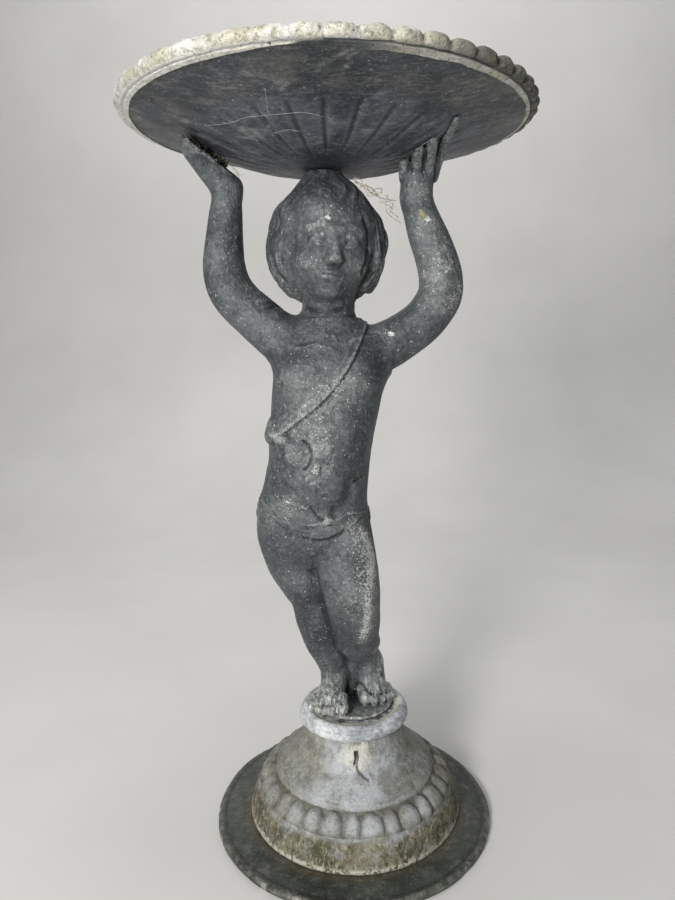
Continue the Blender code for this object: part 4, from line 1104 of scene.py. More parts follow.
def make_disc(material):
    """A flat disc with a moulded line near its chipped, slightly bent edge."""
    rim = DISC_RADIUS
    profile = ((0, 0), (rim - 0.002, 0), (rim - 0.0004, 0.0012), (rim, 0.003),
               (rim - 0.0002, 0.005), (rim - 0.0012, 0.0066), (rim - 0.0034, 0.0076),
               (rim - 0.007, 0.0072), (rim - 0.009, 0.007), (rim - 0.011, 0.0074),
               (rim - 0.018, 0.0078), (0.119, 0.0079), (0, 0.0079))
    part = Turned(360 * FINER, even_outline(profile, 130))
    radius, height, points, marks = part.radius, part.height, part.points, part.marks
    around = part.around(rim)
    outer = ease(rim - 0.006, rim - 0.001, radius)
    chips = np.clip(layered(around, 0.011, 3) - 0.25, 0.0, 1.0)
    bump = -0.0016 * chips * outer + 0.0004 * layered(points, 0.03, 2) * (radius > 0.1)
    bump = bump + 0.00012 * rough(points, 0.004)
    bump = np.where((height < 0.001) | (radius < 0.1), 0.0, np.minimum(bump, 0.0001))
    sway = 0.0008 * layered(around, 0.06, 1) * outer
    marks["ridge"] = ease(rim - 0.0055, rim - 0.003, radius) * (height > 0.004)
    marks["hollow"] = np.exp(-((radius - rim + 0.0088) / 0.0016) ** 2)
    marks["bloom"] = ease(0.127, 0.118, radius + 0.002 * layered(points, 0.02))
    marks["frost"] = chips * outer
    radius = radius + part.out * bump - np.abs(sway)
    height = np.clip(height + part.up * bump, 0.0, DISC_THICKNESS)
    verts = part.around(radius - DISC_BEND * np.sin(part.angle) * (radius > 0.01), height)
    part.make(verts, material, "foot_disc")


def bowl_outline():
    """The bowl's outline from below to inside, with each row's part (0 underside, 1 lobe,
    2 basin) and its turn round the lobe."""
    radii = np.concatenate((np.linspace(0.0, 0.184, 16 * FINER),
                            np.linspace(0.1845, BRIM_RADIUS - 0.0006, 12 * FINER)))
    under = np.column_stack((radii, belly_height(radii)))
    turn = np.linspace(math.radians(-112), math.radians(150), 15 * FINER)
    lobe = LOBE_CENTRE + np.column_stack((np.cos(turn), np.sin(turn))) * LOBE_HALF
    radii = np.linspace(0.1874, 0.0, 16 * FINER)
    inner = np.column_stack((radii, belly_height(radii) + 1.12 * BOWL_WALL))
    kind = np.repeat((0, 1, 2), (len(under), len(lobe), len(inner)))
    turns = np.concatenate((np.zeros(len(under)), turn, np.zeros(len(inner))))
    return np.vstack((under, lobe, inner)), kind, turns


def make_bowl(material):
    """Fluted belly, plain brim, pillow-shaped rim lobes, and the hollow basin."""
    outline, kinds, turns = bowl_outline()
    part = Turned(LOBE_COUNT * 8 * FINER, outline)
    angle, radius, height, points, marks = (part.angle, part.radius, part.height, part.points,
                                            part.marks)
    kind, turn, sine = kinds[part.row], turns[part.row], np.sin(angle)
    below, on_lobes, inside = kind == 0, kind == 1, kind == 2

    def past(low, high):
        """A smooth step along the lobe's turn, in degrees."""
        return ease(math.radians(low), math.radians(high), turn)

    pitch = (angle + 0.1 * sine * ease(0.04, 0.12, radius)) / math.tau * FLUTE_COUNT
    across = np.abs(pitch - np.floor(pitch) - 0.5) * 2
    groove = ease(0.62, 1.0, across) ** 1.7
    reach = ease(0.044, 0.08, radius) * ease(0.133, 0.123, radius)
    arch = ease(0.1345, 0.13, radius + 0.01 * across ** 3)
    flutes = 0.0021 * groove * reach - 0.0007 * (1 - across ** 2) * arch * ease(0.05, 0.1, radius)
    step_line = np.exp(-((radius - 0.1335) / 0.0014) ** 2)
    lift = np.where(below, flutes + 0.0004 * step_line, 0.0)
    leftward = ease(0.05, -0.45, sine)
    band = 0.1932 - 0.0054 * leftward + 0.0004 * layered(part.around(0.19), 0.02) * leftward
    banded = ease(-0.0003, 0.0004, radius - band) * below
    joined = on_lobes * past(-45, -95) * leftward
    lift = lift - 0.001 * np.maximum(banded, joined)
    lift = lift + np.where(below, 0.00025 * layered(points, 0.022), 0.0)

    ring = part.around(LOBE_CENTRE[0])
    seam = angle / math.tau * LOBE_COUNT + 0.1 * rough(ring, 0.03)
    beside_seam = 2 * np.abs(seam - np.round(seam))
    keen = ease(-0.9, 1.0, sine)
    pillow = np.clip(1 - (1 - beside_seam) ** (2.2 + 3.0 * (1 - keen)), 0.0, 1.0) ** 0.6
    deep = 0.2 + 0.6 * keen + 0.14 * rough(ring, 0.02)
    shrink = deep * (1 - pillow) * (0.25 + 0.75 * past(-85, -25))
    shrink = np.where(on_lobes, shrink + 0.07 * (1 - layered(points, 0.011)), 0.0)
    wide = np.where(on_lobes, radius + (LOBE_CENTRE[0] - 0.001 - radius) * shrink, radius)
    high = np.where(on_lobes, height + (LOBE_CENTRE[1] - 0.0012 - height) * shrink, height)
    basin = np.where(inside, 0.0002 * layered(points, 0.03), 0.0)

    # dark seams between the lobes, darkened more toward the right as painted shade
    hollow = np.where(on_lobes, (1 - pillow) * (0.25 + 0.75 * keen), 0.0)
    marks["hollow"] = np.where(below, groove * reach, hollow)
    ridge = np.clip(ease(0.35, 0.6, across) - groove, 0, 1) * reach * 0.6
    marks["ridge"] = np.where(below, ridge, np.where(on_lobes, pillow * 0.6, 0.0))
    pale = np.where(on_lobes, past(-104, -84), 0.0)
    inset = 0.1892 - 0.0036 * ease(0.2, 0.9, np.cos(angle)) + 0.0008 * layered(points, 0.012)
    brim = ease(-0.0004, 0.0006, wide - inset) * below * ease(0.1, 0.45, sine)
    marks["frost"] = np.maximum(np.maximum(pale, 0.92 * brim), np.maximum(banded, joined > 0.02))
    marks["bloom"] = np.where(inside, 0.5 + 0.5 * layered(points, 0.04),
                              np.where(below, ease(0.134, 0.15, wide), 0.6))
    marks["basin"] = inside * 1.0
    low = np.where(on_lobes, past(-62, -80), 0.5 * banded)
    marks["low_edge"] = low * ease(0.3, -0.4, sine)
    # painted shade: the rim and its lobes darken toward the right, and a little on the far left
    aged = np.clip(1.1 * ease(0.2, 0.75, sine) + 0.16 * ease(-0.2, -0.9, sine), 0.0, 1.0)
    marks["aged"] = aged * (1 - 0.85 * below)

    tilt = Euler((BOWL_TILT_X, BOWL_TILT_Y, 0.0)).to_matrix()
    spin = Euler((0.0, 0.0, BOWL_SPIN)).to_matrix()
    hinge = Vector((0.0, 0.0, BRIM_EDGE))
    move = Matrix.Translation(BOWL_CENTRE + hinge - tilt @ hinge) @ (tilt @ spin).to_4x4()
    part.make(part.around(wide, high + lift + basin), material, "bowl", move)


# loose dirt

def underside(x, y, gap=0.0004):
    """A point just under the bowl at x and y."""
    aside, across = x - BOWL_CENTRE.x, y - BOWL_CENTRE.y
    height = float(belly_height(math.hypot(aside, across)))
    height += across * math.tan(BOWL_TILT_X) - aside * math.tan(BOWL_TILT_Y)
    return (x, y, height - gap)


def threads(name, paths, material, sides=5):
    """Thin round threads along paths of points (x, y, z, radius), in one mesh."""
    verts, faces = [], []
    for path in paths:
        path = smooth_path(path, 4)
        run = np.gradient(path[:, :3], axis=0)
        run /= np.linalg.norm(run, axis=1)[:, None]
        side = np.cross(run, (0.31, 0.22, 0.93))
        side /= np.linalg.norm(side, axis=1)[:, None]
        up = np.cross(run, side)
        first = len(verts)
        for k, point in enumerate(path):
            for turn in range(sides):
                angle = math.tau * turn / sides
                out = math.cos(angle) * side[k] + math.sin(angle) * up[k]
                verts.append(tuple(point[:3] + point[3] * out))
        rings = [[first + k * sides + turn for turn in range(sides)] for k in range(len(path))]
        for ring, after in zip(rings, rings[1:]):
            faces += [(ring[k - 1], ring[k], after[k], after[k - 1]) for k in (*range(1, sides), 0)]
        faces += [rings[0][::-1], rings[-1]]
    mesh = bpy.data.meshes.new(name)
    mesh.from_pydata(verts, [], faces)
    mesh.update()
    new_piece(name, mesh, material)


def make_cobwebs(material):
    """Cobweb threads and scratches that cling to the bowl's underside."""
    thin, thick = 0.00012, 0.00017
    routes = (
        (thick, 0.0007, ((-0.064, -0.14), (-0.0655, -0.125), (-0.067, -0.11))),
        (thin, 0.0007, ((-0.129, -0.068), (-0.114, -0.079), (-0.1, -0.088), (-0.084, -0.1),
                        (-0.067, -0.108), (-0.051, -0.114), (-0.036, -0.116), (-0.02, -0.11))),
        (thin, 0.0007, ((-0.066, -0.083), (-0.058, -0.089), (-0.049, -0.092), (-0.04, -0.091))),
        (thin, 0.0007, ((-0.072, -0.112), (-0.067, -0.104), (-0.063, -0.094))),
        (thick, 0.0009, ((0.055, -0.013), (0.061, -0.027), (0.067, -0.037), (0.073, -0.044),
                         (0.079, -0.048), (0.086, -0.054))),
        (thin, 0.0009, ((0.05, -0.016), (0.06, -0.03), (0.068, -0.041), (0.08, -0.052))))
    paths = []
    for radius, gap, route in routes:
        route = [(x + 0.0012 * math.sin(900 * y), y + 0.0012 * math.sin(700 * x)) for x, y in route]
        paths.append([(*underside(x, y, gap), radius) for x, y in route])
    threads("cobwebs", paths, material)


def make_straw(material):
    """Bits of dry straw and cobweb by the crown and in the gap at one hand."""
    spread = np.random.default_rng(5)
    paths = []
    main = ((-7, -14, 686), (4, -18, 686), (10, -19, 681), (14, -20, 675), (20, -20, 669),
            (28, -20, 669), (36, -20, 664), (42, -20, 657), (43, -20, 649), (47, -20, 640))
    for _ in range(STRAW_COUNT):
        first = int(spread.integers(0, 7))
        count = int(spread.integers(3, 5))
        points = []
        for place in main[first:first + count]:
            near = np.array(place) + spread.uniform(-5.5, 5.5, 3) * (1.0, 0.8, 0.9)
            points.append((*(near * MM), 0.0002 + 0.00022 * spread.random()))
        if len(points) > 2:
            paths.append(points)
    for web in (((-119, 1, 703), (-112, -2, 697), (-105, -4, 689)),
                ((-118, 0, 701), (-110, -1, 693), (-107, -4, 685)),
                ((-113, -3, 693), (-108, -3, 691), (-102, -4, 691)),
                ((-114, -2, 698), (-109, -3, 690), (-109, -5, 684))):
        paths.append([(x * MM, y * MM, z * MM, 0.00018) for x, y, z in web])
    threads("straw", paths, material)


def make_debris(material):
    """Dark leaf fibre packed into the slit over the hand on the left."""
    spread = np.random.default_rng(8)
    paths = []
    for _ in range(LEAF_COUNT):
        share = spread.random() * (len(SLIT_LINE) - 1)
        start = np.array([np.interp(share, range(len(SLIT_LINE)), values)
                          for values in zip(*SLIT_LINE)])
        start += spread.uniform(-1, 1, 3) * (2.2, 3.0, 2.0)
        run = spread.uniform(-1, 1, 3) * (3.5, 3.5, 2.6)
        points = []
        for step in (-1.0, 0.0, 1.0):
            near = start + run * step + spread.uniform(-0.8, 0.8, 3)
            top = underside(near[0] * MM, near[1] * MM)[2] / MM - 0.8
            points.append((near[0] * MM, near[1] * MM, min(near[2], top) * MM,
                           0.0003 + 0.0006 * spread.random()))
        paths.append(points)
    threads("leaf_debris", paths, material)


# materials

class Paint:
    """Builds one lead material: layers of colour, each laid by noise and the vertices' marks."""

    def __init__(self, name, colour):
        self.material = bpy.data.materials.new(name)
        self.material.use_nodes = True
        self.tree = self.material.node_tree
        self.place = self.node("ShaderNodeTexCoord").outputs["Object"]
        self.colour = colour

    def node(self, kind, settings=(), **values):
        """A new node with its settings and inputs; _ stands for the space in an input's name."""
        node = self.tree.nodes.new(kind)
        for name, value in dict(settings).items():
            setattr(node, name, value)
        for name, value in values.items():
            self.put(value, node.inputs[name.replace("_", " ")])
        return node

    def put(self, value, socket):
        if isinstance(value, bpy.types.NodeSocket):
            self.tree.links.new(value, socket)
        else:
            socket.default_value = value

    def marks(self, names):
        return [self.node("ShaderNodeAttribute", {"attribute_name": name}).outputs["Fac"]
                for name in names.split()]

    def noise(self, size, detail=4.0, rough=0.55, stretch=None, warp=0.0):
        """Noise whose lumps are about size metres across, from 0 to 1."""
        place = self.place
        if stretch:
            place = self.node("ShaderNodeMapping", Vector=place, Scale=stretch).outputs["Vector"]
        node = self.node("ShaderNodeTexNoise", Vector=place, Scale=1.0 / size, Detail=detail,
                         Roughness=rough, Distortion=warp)
        return node.outputs["Fac"]

    def step(self, value, low, high, first=0.0, last=1.0):
        """A smooth step from first, where the value is low, to last, where it is high."""
        node = self.node("ShaderNodeMapRange", {"interpolation_type": "SMOOTHSTEP"}, Value=value,
                         From_Min=low, From_Max=high, To_Min=first, To_Max=last)
        return node.outputs["Result"]

    def patches(self, size, detail, rough, low, high, most=1.0, least=0.0, **shape):
        """Patches of a noise: least where it is under low, most where it is over high."""
        return self.step(self.noise(size, detail, rough, **shape), low, high, least, most)

    def math(self, kind, a, b, clamp=False):
        node = self.node("ShaderNodeMath", {"operation": kind, "use_clamp": clamp})
        self.put(a, node.inputs[0])
        self.put(b, node.inputs[1])
        return node.outputs[0]

    def chain(self, kind, first, *others):
        for value in others:
            first = self.math(kind, first, value)
        return first

    def times(self, *values):
        return self.chain("MULTIPLY", *values)

    def plus(self, *values):
        return self.chain("ADD", *values)

    def blend(self, colour, *layers):
        """The colour with layers (share, colour) over it."""
        for share, top in layers:
            a, b = ((*each, 1.0) if isinstance(each, tuple) else each for each in (colour, top))
            node = self.node("ShaderNodeMix", {"data_type": "RGBA"}, Factor=share, A=a, B=b)
            colour = node.outputs["Result"]
        return colour

    def lay(self, share, colour):
        self.colour = self.blend(self.colour, (share, colour))

    def flecks(self, size, density, reach=0.34, warp=0.5):
        """Small crisp spots of oxide; density is the share of the cells that hold one."""
        bend = self.node("ShaderNodeTexNoise", Vector=self.place, Scale=0.9 / size, Detail=2.0)
        move = self.node("ShaderNodeVectorMath", {"operation": "MULTIPLY_ADD"})
        for socket, value in zip(move.inputs, (bend.outputs["Color"], (2.4 * warp * size,) * 3,
                                               self.place)):
            self.put(value, socket)
        node = self.node("ShaderNodeTexVoronoi", Vector=move.outputs["Vector"], Scale=1.0 / size)
        split = self.node("ShaderNodeSeparateColor", Color=node.outputs["Color"])
        chosen = self.math("LESS_THAN", split.outputs["Red"], density)
        grown = self.times(reach, self.plus(0.4, self.times(split.outputs["Green"], 1.1)))
        inward = self.math("SUBTRACT", grown, node.outputs["Distance"])
        dot = self.math("MULTIPLY", inward, 6.0, clamp=True)
        return self.times(dot, chosen, self.plus(0.35, self.times(split.outputs["Blue"], 0.65)))

    def crust(self, size, density):
        """Ragged patches of oxide, wider where density is high."""
        limit = self.math("SUBTRACT", 0.7, self.times(density, 0.2))
        over = self.math("SUBTRACT", self.noise(size, 6, 0.75), limit)
        return self.math("MULTIPLY", over, 12.0, clamp=True)

    def pits(self):
        """Fine casting skin for the bump, in parts of its depth."""
        return self.plus(self.times(self.noise(0.0125, 3, 0.55), 0.6),
                         self.times(self.noise(0.0045, 5, 0.65), 0.5),
                         self.times(self.noise(0.0016, 3, 0.65), 0.14))

    def grit(self, size, share):
        """Fine dark and pale grain in the colour."""
        grain = self.noise(size, 4, 0.8)
        self.lay(self.step(grain, 0.47, 0.36, 0.0, share), (0.018, 0.02, 0.022))
        self.lay(self.step(grain, 0.54, 0.66, 0.0, 0.55 * share), (0.42, 0.43, 0.42))

    def finish(self, roughness, height, depth, metal=0.25):
        shader = self.tree.nodes["Principled BSDF"]
        bump = self.node("ShaderNodeBump", Strength=1.0, Distance=depth, Height=height)
        for name, value in (("Base Color", self.colour), ("Roughness", roughness),
                            ("Metallic", metal), ("Normal", bump.outputs["Normal"])):
            self.put(value, shader.inputs[name])
        return self.material


def figure_lead():
    paint = Paint("cherub_lead_looks", (0.052, 0.06, 0.068))
    hollow, ridge, bloom, frost = paint.marks("hollow ridge bloom frost")
    dark, spot, lichen = paint.marks("dark spot lichen")
    patches, times, plus = paint.patches, paint.times, paint.plus
    paint.lay(patches(0.05, 9, 0.72, 0.39, 0.62), (0.126, 0.139, 0.145))
    paint.lay(patches(0.012, 8, 0.75, 0.5, 0.64, 0.36), (0.215, 0.23, 0.232))
    paint.lay(patches(0.005, 6, 0.7, 0.51, 0.66, 0.42, stretch=(1, 1, 0.16)), (0.04, 0.046, 0.052))
    # painted shade where the mark dark lies
    paint.lay(times(dark, 0.74), (0.032, 0.036, 0.046))
    paint.lay(times(frost, 0.6), (0.33, 0.34, 0.33))
    # pale bloom haze, with painted light on the right thigh and the right forearm
    bloom_and_light_haze = times(bloom, patches(0.009, 8, 0.75, 0.4, 0.6, 1.0, 0.1))
    paint.lay(paint.math("MULTIPLY", bloom_and_light_haze, 0.74, clamp=True), (0.28, 0.293, 0.282))
    paint.grit(0.004, 0.45)
    paint.lay(times(paint.step(hollow, 0.22, 0.85), 0.8), (0.016, 0.018, 0.02))
    # rubbed pale ridges, fewer where painted shade lies
    worn = times(paint.step(ridge, 0.35, 0.95), patches(0.0035, 5, 0.75, 0.42, 0.6),
                 paint.step(dark, 0.5, 0.1, 0.3, 1.0))
    paint.lay(times(worn, 0.55), (0.4, 0.415, 0.41))
    clusters = plus(patches(0.016, 4, 0.65, 0.42, 0.6, 1.6, 0.08),
                    times(paint.step(bloom, 0.85, 1.15), 0.8))
    many = times(clusters, plus(times(bloom, bloom, 0.95), times(frost, 0.2), 0.04))
    specks = paint.chain("MAXIMUM", paint.flecks(0.0014, many, 0.46, 0.9),
                         paint.flecks(0.0032, times(many, 0.22), 0.26, 0.8),
                         times(paint.crust(0.003, plus(times(bloom, clusters, 0.5), -0.1)), 0.75))
    paint.lay(times(specks, 0.92), (0.7, 0.72, 0.69))
    paint.lay(times(paint.flecks(0.03, 0.14, 0.04, 0.05), 0.9), (0.74, 0.74, 0.7))
    ragged = times(paint.noise(0.0024, 5, 0.8), 2.4)
    spot, lichen = (paint.step(plus(each, ragged), 1.62, 1.86) for each in (spot, lichen))
    # white dirt, with painted light on the right thigh
    paint.lay(times(spot, 0.88), (0.78, 0.79, 0.76))
    paint.lay(times(lichen, 0.7), (0.34, 0.3, 0.15))
    lines = paint.noise(0.0046, 5, 0.7, stretch=(1.5, 0.7, 0.18), warp=0.3)
    white = times(frost, paint.step(lines, 0.5, 0.57))
    paint.lay(times(white, 0.9), (0.68, 0.7, 0.66))
    paint.lay(times(frost, paint.step(lines, 0.44, 0.38), 0.85), (0.02, 0.022, 0.022))
    roughness = plus(0.42, times(paint.noise(0.012, 5), 0.22), times(specks, 0.25))
    height = plus(paint.pits(), times(specks, 0.1), times(white, 0.1), times(spot, 0.08))
    return paint.finish(roughness, height, 0.003, 0.32)


def bowl_lead():
    paint = Paint("bowl_lead_looks", (0.036, 0.042, 0.056))
    hollow, ridge, bloom, frost = paint.marks("hollow ridge bloom frost")
    basin, aged, low_edge = paint.marks("basin aged low_edge")
    patches, times, plus = paint.patches, paint.times, paint.plus
    paint.lay(patches(0.07, 9, 0.7, 0.4, 0.62), (0.098, 0.108, 0.13))
    paint.lay(times(bloom, 0.45), (0.052, 0.055, 0.054))
    paint.lay(times(bloom, patches(0.04, 6, 0.7, 0.46, 0.6), 0.45), (0.185, 0.178, 0.152))
    smears = patches(0.03, 8, 0.74, 0.53, 0.68, 0.62, stretch=(0.55, 1.5, 1), warp=1.4)
    paint.lay(smears, (0.34, 0.345, 0.34))
    fine = paint.noise(0.006, 6, 0.78, stretch=(0.35, 1.6, 1), warp=0.8)
    paint.lay(paint.step(fine, 0.54, 0.66, 0.0, 0.42), (0.27, 0.275, 0.275))
    paint.lay(paint.step(fine, 0.46, 0.36, 0.0, 0.55), (0.022, 0.025, 0.031))
    paint.grit(0.0045, 0.42)
    paint.lay(times(hollow, 0.3), (0.026, 0.029, 0.036))
    paint.lay(times(ridge, 0.3), (0.21, 0.217, 0.23))
    stains = paint.blend((0.1, 0.1, 0.085),
                         (patches(0.055, 6, 0.6, 0.35, 0.65), (0.26, 0.26, 0.23)),
                         (patches(0.009, 6, 0.75, 0.5, 0.64, 0.6), (0.42, 0.42, 0.38)))
    paint.lay(basin, stains)
    # painted shade on the rim's right side, broken by noise
    shade = plus(aged, times(paint.noise(0.02, 5, 0.7), 0.5), -0.25)
    olive = times(patches(0.0085, 8, 0.78, 0.49, 0.6), paint.step(ridge, 0.1, 0.45))
    low = times(low_edge, patches(0.007, 5, 0.7, 0.36, 0.48, 1.0, 0.4))
    cream = paint.blend(
        (0.78, 0.775, 0.735),
        (patches(0.03, 6, 0.65, 0.42, 0.58), (0.64, 0.62, 0.51)),
        (paint.math("MULTIPLY", shade, 0.95, clamp=True), (0.08, 0.08, 0.07)),
        (patches(0.012, 8, 0.75, 0.5, 0.62, 0.6), (0.34, 0.335, 0.295)),
        (times(olive, 0.5), (0.26, 0.24, 0.145)),
        (patches(0.004, 6, 0.75, 0.53, 0.62, 0.75), (0.16, 0.15, 0.115)),
        (times(low, 0.9), (0.76, 0.76, 0.73)),
        (times(paint.step(hollow, 0.25, 0.85), 0.92), (0.04, 0.038, 0.032)))
    paint.lay(times(frost, patches(0.0065, 6, 0.75, 0.3, 0.42)), cream)
    paint.lay(times(paint.flecks(0.002, 0.05, 0.36), 0.7), (0.5, 0.5, 0.48))
    paint.lay(times(paint.flecks(0.034, 0.16, 0.045, 0.05), 0.85), (0.68, 0.67, 0.6))
    roughness = plus(0.42, times(paint.noise(0.014, 5), 0.24), times(frost, 0.2))
    return paint.finish(roughness, times(paint.pits(), plus(0.7, frost)), 0.0022, 0.25)


def base_lead():
    paint = Paint("bell_base_lead_looks", (0.225, 0.224, 0.205))
    hollow, ridge, bloom, frost = paint.marks("hollow ridge bloom frost")
    slot_dark, pale_edge = paint.marks("slot_dark pale_edge")
    patches, times, plus = paint.patches, paint.times, paint.plus
    paint.lay(patches(0.042, 9, 0.7, 0.4, 0.6), (0.435, 0.457, 0.472))
    paint.lay(patches(0.008, 8, 0.75, 0.5, 0.62, 0.5), (0.125, 0.125, 0.105))
    rings = patches(0.0036, 6, 0.72, 0.52, 0.64, 0.45, stretch=(0.25, 0.25, 2))
    paint.lay(rings, (0.48, 0.49, 0.48))
    paint.lay(times(paint.step(ridge, 0.1, 0.8), 0.32), (0.46, 0.475, 0.46))
    # brown dirt between the eggs, and painted shade in the slot, the crack and under the collar
    paint.lay(times(hollow, patches(0.012, 5, 0.55, 0.3, 0.6, 0.95, 0.45)), (0.094, 0.086, 0.054))
    ragged = times(paint.noise(0.007, 8, 0.78, stretch=(1, 1, 0.55)), 2.2)
    cream = paint.step(plus(bloom, ragged), 1.4, 1.95)
    paint.lay(times(cream, 0.82), (0.66, 0.645, 0.58))
    paint.grit(0.0036, 0.3)
    # painted shade in the slot and the crack
    paint.lay(times(slot_dark, 0.85), (0.075, 0.064, 0.045))
    lines = paint.noise(0.0044, 5, 0.75, stretch=(1, 1, 0.6), warp=0.5)
    olive = paint.blend((0.09, 0.084, 0.048),
                        (patches(0.03, 8, 0.75, 0.42, 0.58), (0.2, 0.184, 0.12)),
                        (paint.step(lines, 0.53, 0.62, 0.0, 0.75), (0.4, 0.385, 0.315)),
                        (paint.step(lines, 0.46, 0.38, 0.0, 0.8), (0.034, 0.032, 0.02)))
    paint.lay(times(frost, patches(0.016, 6, 0.7, 0.28, 0.5, 1.0, 0.35)), olive)
    paint.lay(times(pale_edge, paint.step(lines, 0.4, 0.52)), (0.56, 0.54, 0.45))
    roughness = plus(0.56, times(paint.noise(0.01, 5), 0.2), times(frost, 0.12))
    return paint.finish(roughness, plus(paint.pits(), times(frost, lines, 0.5)), 0.0026, 0.1)


def collar_lead():
    paint = Paint("collar_lead_looks", (0.31, 0.328, 0.356))
    hollow, ridge, bloom, frost, low_edge = paint.marks("hollow ridge bloom frost low_edge")
    patches, times, plus = paint.patches, paint.times, paint.plus
    paint.lay(patches(0.024, 6, 0.65, 0.4, 0.6), (0.68, 0.702, 0.725))
    around = paint.noise(0.0045, 6, 0.75, stretch=(0.45, 0.45, 1.6))
    paint.lay(paint.step(around, 0.51, 0.62, 0.0, 0.65), (0.18, 0.185, 0.2))
    paint.lay(times(bloom, patches(0.011, 6, 0.75, 0.46, 0.58, 0.8)), (0.74, 0.755, 0.76))
    paint.lay(paint.step(around, 0.46, 0.36, 0.0, 0.65), (0.76, 0.77, 0.77))
    paint.grit(0.0036, 0.4)
    paint.lay(times(low_edge, patches(0.005, 6, 0.75, 0.36, 0.5)), (0.88, 0.88, 0.84))
    paint.lay(times(low_edge, patches(0.0038, 6, 0.75, 0.55, 0.62), 0.9), (0.04, 0.036, 0.03))
    paint.lay(frost, (0.62, 0.6, 0.5))
    ledge = patches(0.0045, 5, 0.75, 0.52, 0.62, 0.8, stretch=(0.8, 0.8, 1))
    paint.lay(times(frost, ledge), (0.2, 0.185, 0.135))
    paint.lay(times(hollow, patches(0.01, 6, 0.75, 0.42, 0.55), 0.9), (0.045, 0.04, 0.032))
    paint.lay(times(ridge, patches(0.012, 6, 0.75, 0.58, 0.68), 0.5), (0.2, 0.155, 0.145))
    roughness = plus(0.5, times(paint.noise(0.009, 5), 0.25))
    return paint.finish(roughness, plus(paint.pits(), times(low_edge, 0.1)), 0.003, 0.1)


def disc_lead():
    paint = Paint("foot_disc_lead_looks", (0.029, 0.035, 0.027))
    hollow, ridge, bloom, frost = paint.marks("hollow ridge bloom frost")
    patches, times, plus = paint.patches, paint.times, paint.plus
    paint.lay(patches(0.06, 5, 0.55, 0.38, 0.64), (0.074, 0.083, 0.068))
    paint.lay(patches(0.013, 6, 0.72, 0.48, 0.68, 0.65), (0.155, 0.16, 0.14))
    paint.lay(patches(0.005, 6, 0.75, 0.54, 0.68, 0.5), (0.022, 0.023, 0.018))
    paint.lay(times(hollow, 0.75), (0.014, 0.015, 0.012))
    paint.lay(times(ridge, patches(0.01, 5, 0.7, 0.42, 0.6), 0.6), (0.22, 0.22, 0.19))
    brown = times(bloom, patches(0.018, 5, 0.7, 0.34, 0.56, 1.0, 0.35))
    paint.lay(times(brown, 0.75), (0.105, 0.086, 0.056))
    chipped = paint.step(plus(frost, times(paint.noise(0.004, 5, 0.7), 0.6)), 0.62, 0.95)
    paint.lay(times(chipped, 0.7), (0.36, 0.35, 0.3))
    paint.lay(times(paint.flecks(0.03, 0.22, 0.055), 0.8), (0.6, 0.59, 0.52))
    paint.grit(0.005, 0.35)
    roughness = plus(0.3, times(paint.noise(0.014, 5), 0.36))
    return paint.finish(roughness, paint.pits(), 0.0028, 0.15)


def dry_fibre(name, dark, pale):
    paint = Paint(name, dark)
    paint.lay(paint.patches(0.004, 4, 0.55, 0.35, 0.65), pale)
    return paint.finish(0.85, paint.noise(0.001, 3), 0.0001, 0.0)


# stage

def make_floor():
    """A pale floor that sweeps up behind the statue without a corner."""
    half_width, sweep_start, sweep_radius = 10.0, 1.1, 0.9
    profile = [(-9.0, 0.0), (sweep_start, 0.0)]
    for step in range(1, 13):
        turn = math.radians(90 * step / 12)
        profile.append((sweep_start + sweep_radius * math.sin(turn),
                        sweep_radius - sweep_radius * math.cos(turn)))
    profile.append((sweep_start + sweep_radius, 9.0))
    verts = [(x, y, z) for y, z in profile for x in (-half_width, half_width)]
    faces = [(2 * k, 2 * k + 1, 2 * k + 3, 2 * k + 2) for k in range(len(profile) - 1)]
    mesh = bpy.data.meshes.new("floor")
    mesh.from_pydata(verts, [], faces)
    mesh.shade_smooth()
    floor = bpy.data.objects.new("floor", mesh)
    bpy.context.scene.collection.objects.link(floor)
    floor.location.z = -0.0004
    paint = Paint("floor_looks", (0.66, 0.65, 0.63))
    paint.lay(paint.patches(0.3, 3, 0.55, 0.3, 0.7), (0.7, 0.69, 0.67))
    mesh.materials.append(paint.finish(0.85, paint.noise(0.01, 2), 0.0001, 0.0))


def add_light(name, place, target, power, size, colour=(1.0, 1.0, 1.0)):
    data = bpy.data.lights.new(name, "AREA")
    data.energy = power
    data.size = size
    data.color = colour
    item = bpy.data.objects.new(name, data)
    item.location = place
    item.rotation_euler = (Vector(target) - Vector(place)).to_track_quat("-Z", "Y").to_euler()
    bpy.context.scene.collection.objects.link(item)


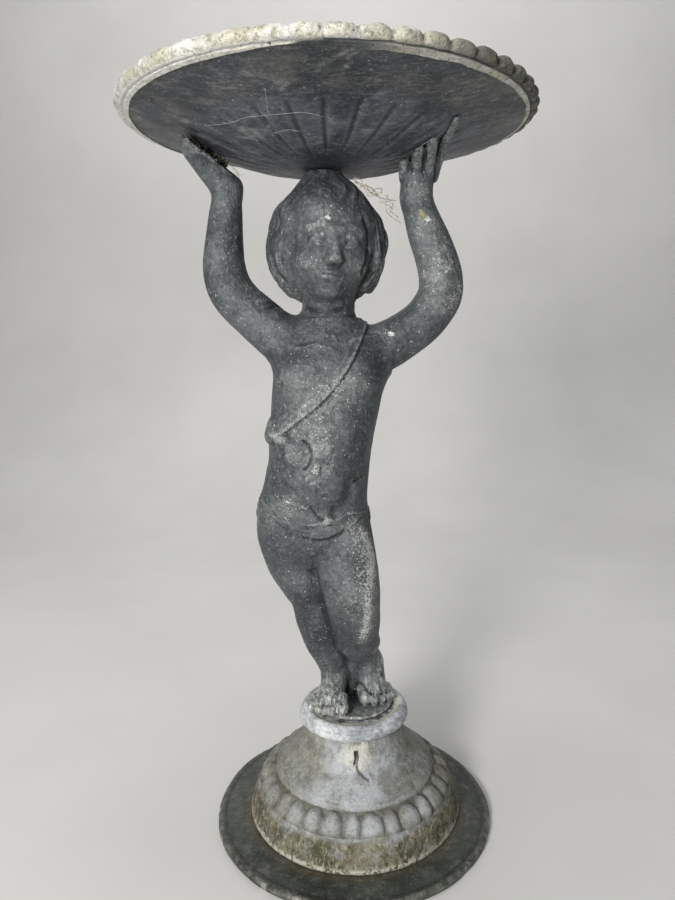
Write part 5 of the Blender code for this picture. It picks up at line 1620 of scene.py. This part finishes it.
def make_lights():
    add_light("key", (-0.66, -1.41, 0.8), (0, 0, 0.44), 28.0, 0.4, (1.0, 0.985, 0.96))
    add_light("fill", (1.7, -0.9, 0.7), (0, 0, 0.4), 0.7, 1.2, (0.94, 0.97, 1.0))
    add_light("back", (-0.5, 1.6, 1.2), (0, 0, 0.45), 2.5, 1.0, (0.97, 0.98, 1.0))
    add_light("backdrop", (0, 0.4, 2.6), (0, 1.9, 0.9), 30.0, 1.6)
    world = bpy.data.worlds.new("studio")
    world.use_nodes = True
    background = world.node_tree.nodes["Background"]
    background.inputs["Color"].default_value = (0.86, 0.9, 0.96, 1.0)
    background.inputs["Strength"].default_value = 0.2
    bpy.context.scene.world = world


def make_camera():
    """The photograph's view: 27 mm lens, 8.4 degrees down, rolled a little to the left."""
    pitch, roll, yaw = math.radians(8.41), math.radians(-0.82), math.radians(-1.13)
    place = (0.0, -0.7105, 0.5174)
    focal_pixels, sensor, image_height = 679.2, 36.0, 900
    ahead = Vector((math.sin(yaw) * math.cos(pitch), math.cos(yaw) * math.cos(pitch),
                    -math.sin(pitch)))
    right = Vector((math.cos(yaw), -math.sin(yaw), 0.0))
    up = right.cross(ahead)
    tilted_right = math.cos(roll) * right + math.sin(roll) * up
    tilted_up = math.cos(roll) * up - math.sin(roll) * right
    data = bpy.data.cameras.new("camera")
    data.lens = focal_pixels * sensor / image_height
    data.sensor_width = sensor
    data.sensor_fit = "AUTO"
    data.clip_start = 0.02
    camera = bpy.data.objects.new("camera", data)
    axes = Matrix((tilted_right, tilted_up, -ahead)).transposed()
    camera.matrix_world = Matrix.Translation(place) @ axes.to_4x4()
    bpy.context.scene.collection.objects.link(camera)
    bpy.context.scene.camera = camera


def build():
    make_camera()
    make_lights()
    make_floor()
    make_disc(disc_lead())
    make_base(base_lead())
    make_collar(collar_lead())
    make_bowl(bowl_lead())
    make_figure(figure_lead())
    make_cobwebs(dry_fibre("cobweb_looks", (0.34, 0.34, 0.32), (0.52, 0.52, 0.49)))
    make_straw(dry_fibre("straw_looks", (0.2, 0.17, 0.11), (0.5, 0.46, 0.36)))
    make_debris(dry_fibre("leaf_debris_looks", (0.008, 0.007, 0.006), (0.07, 0.055, 0.036)))
    bpy.context.scene.view_settings.view_transform = "Standard"


build()
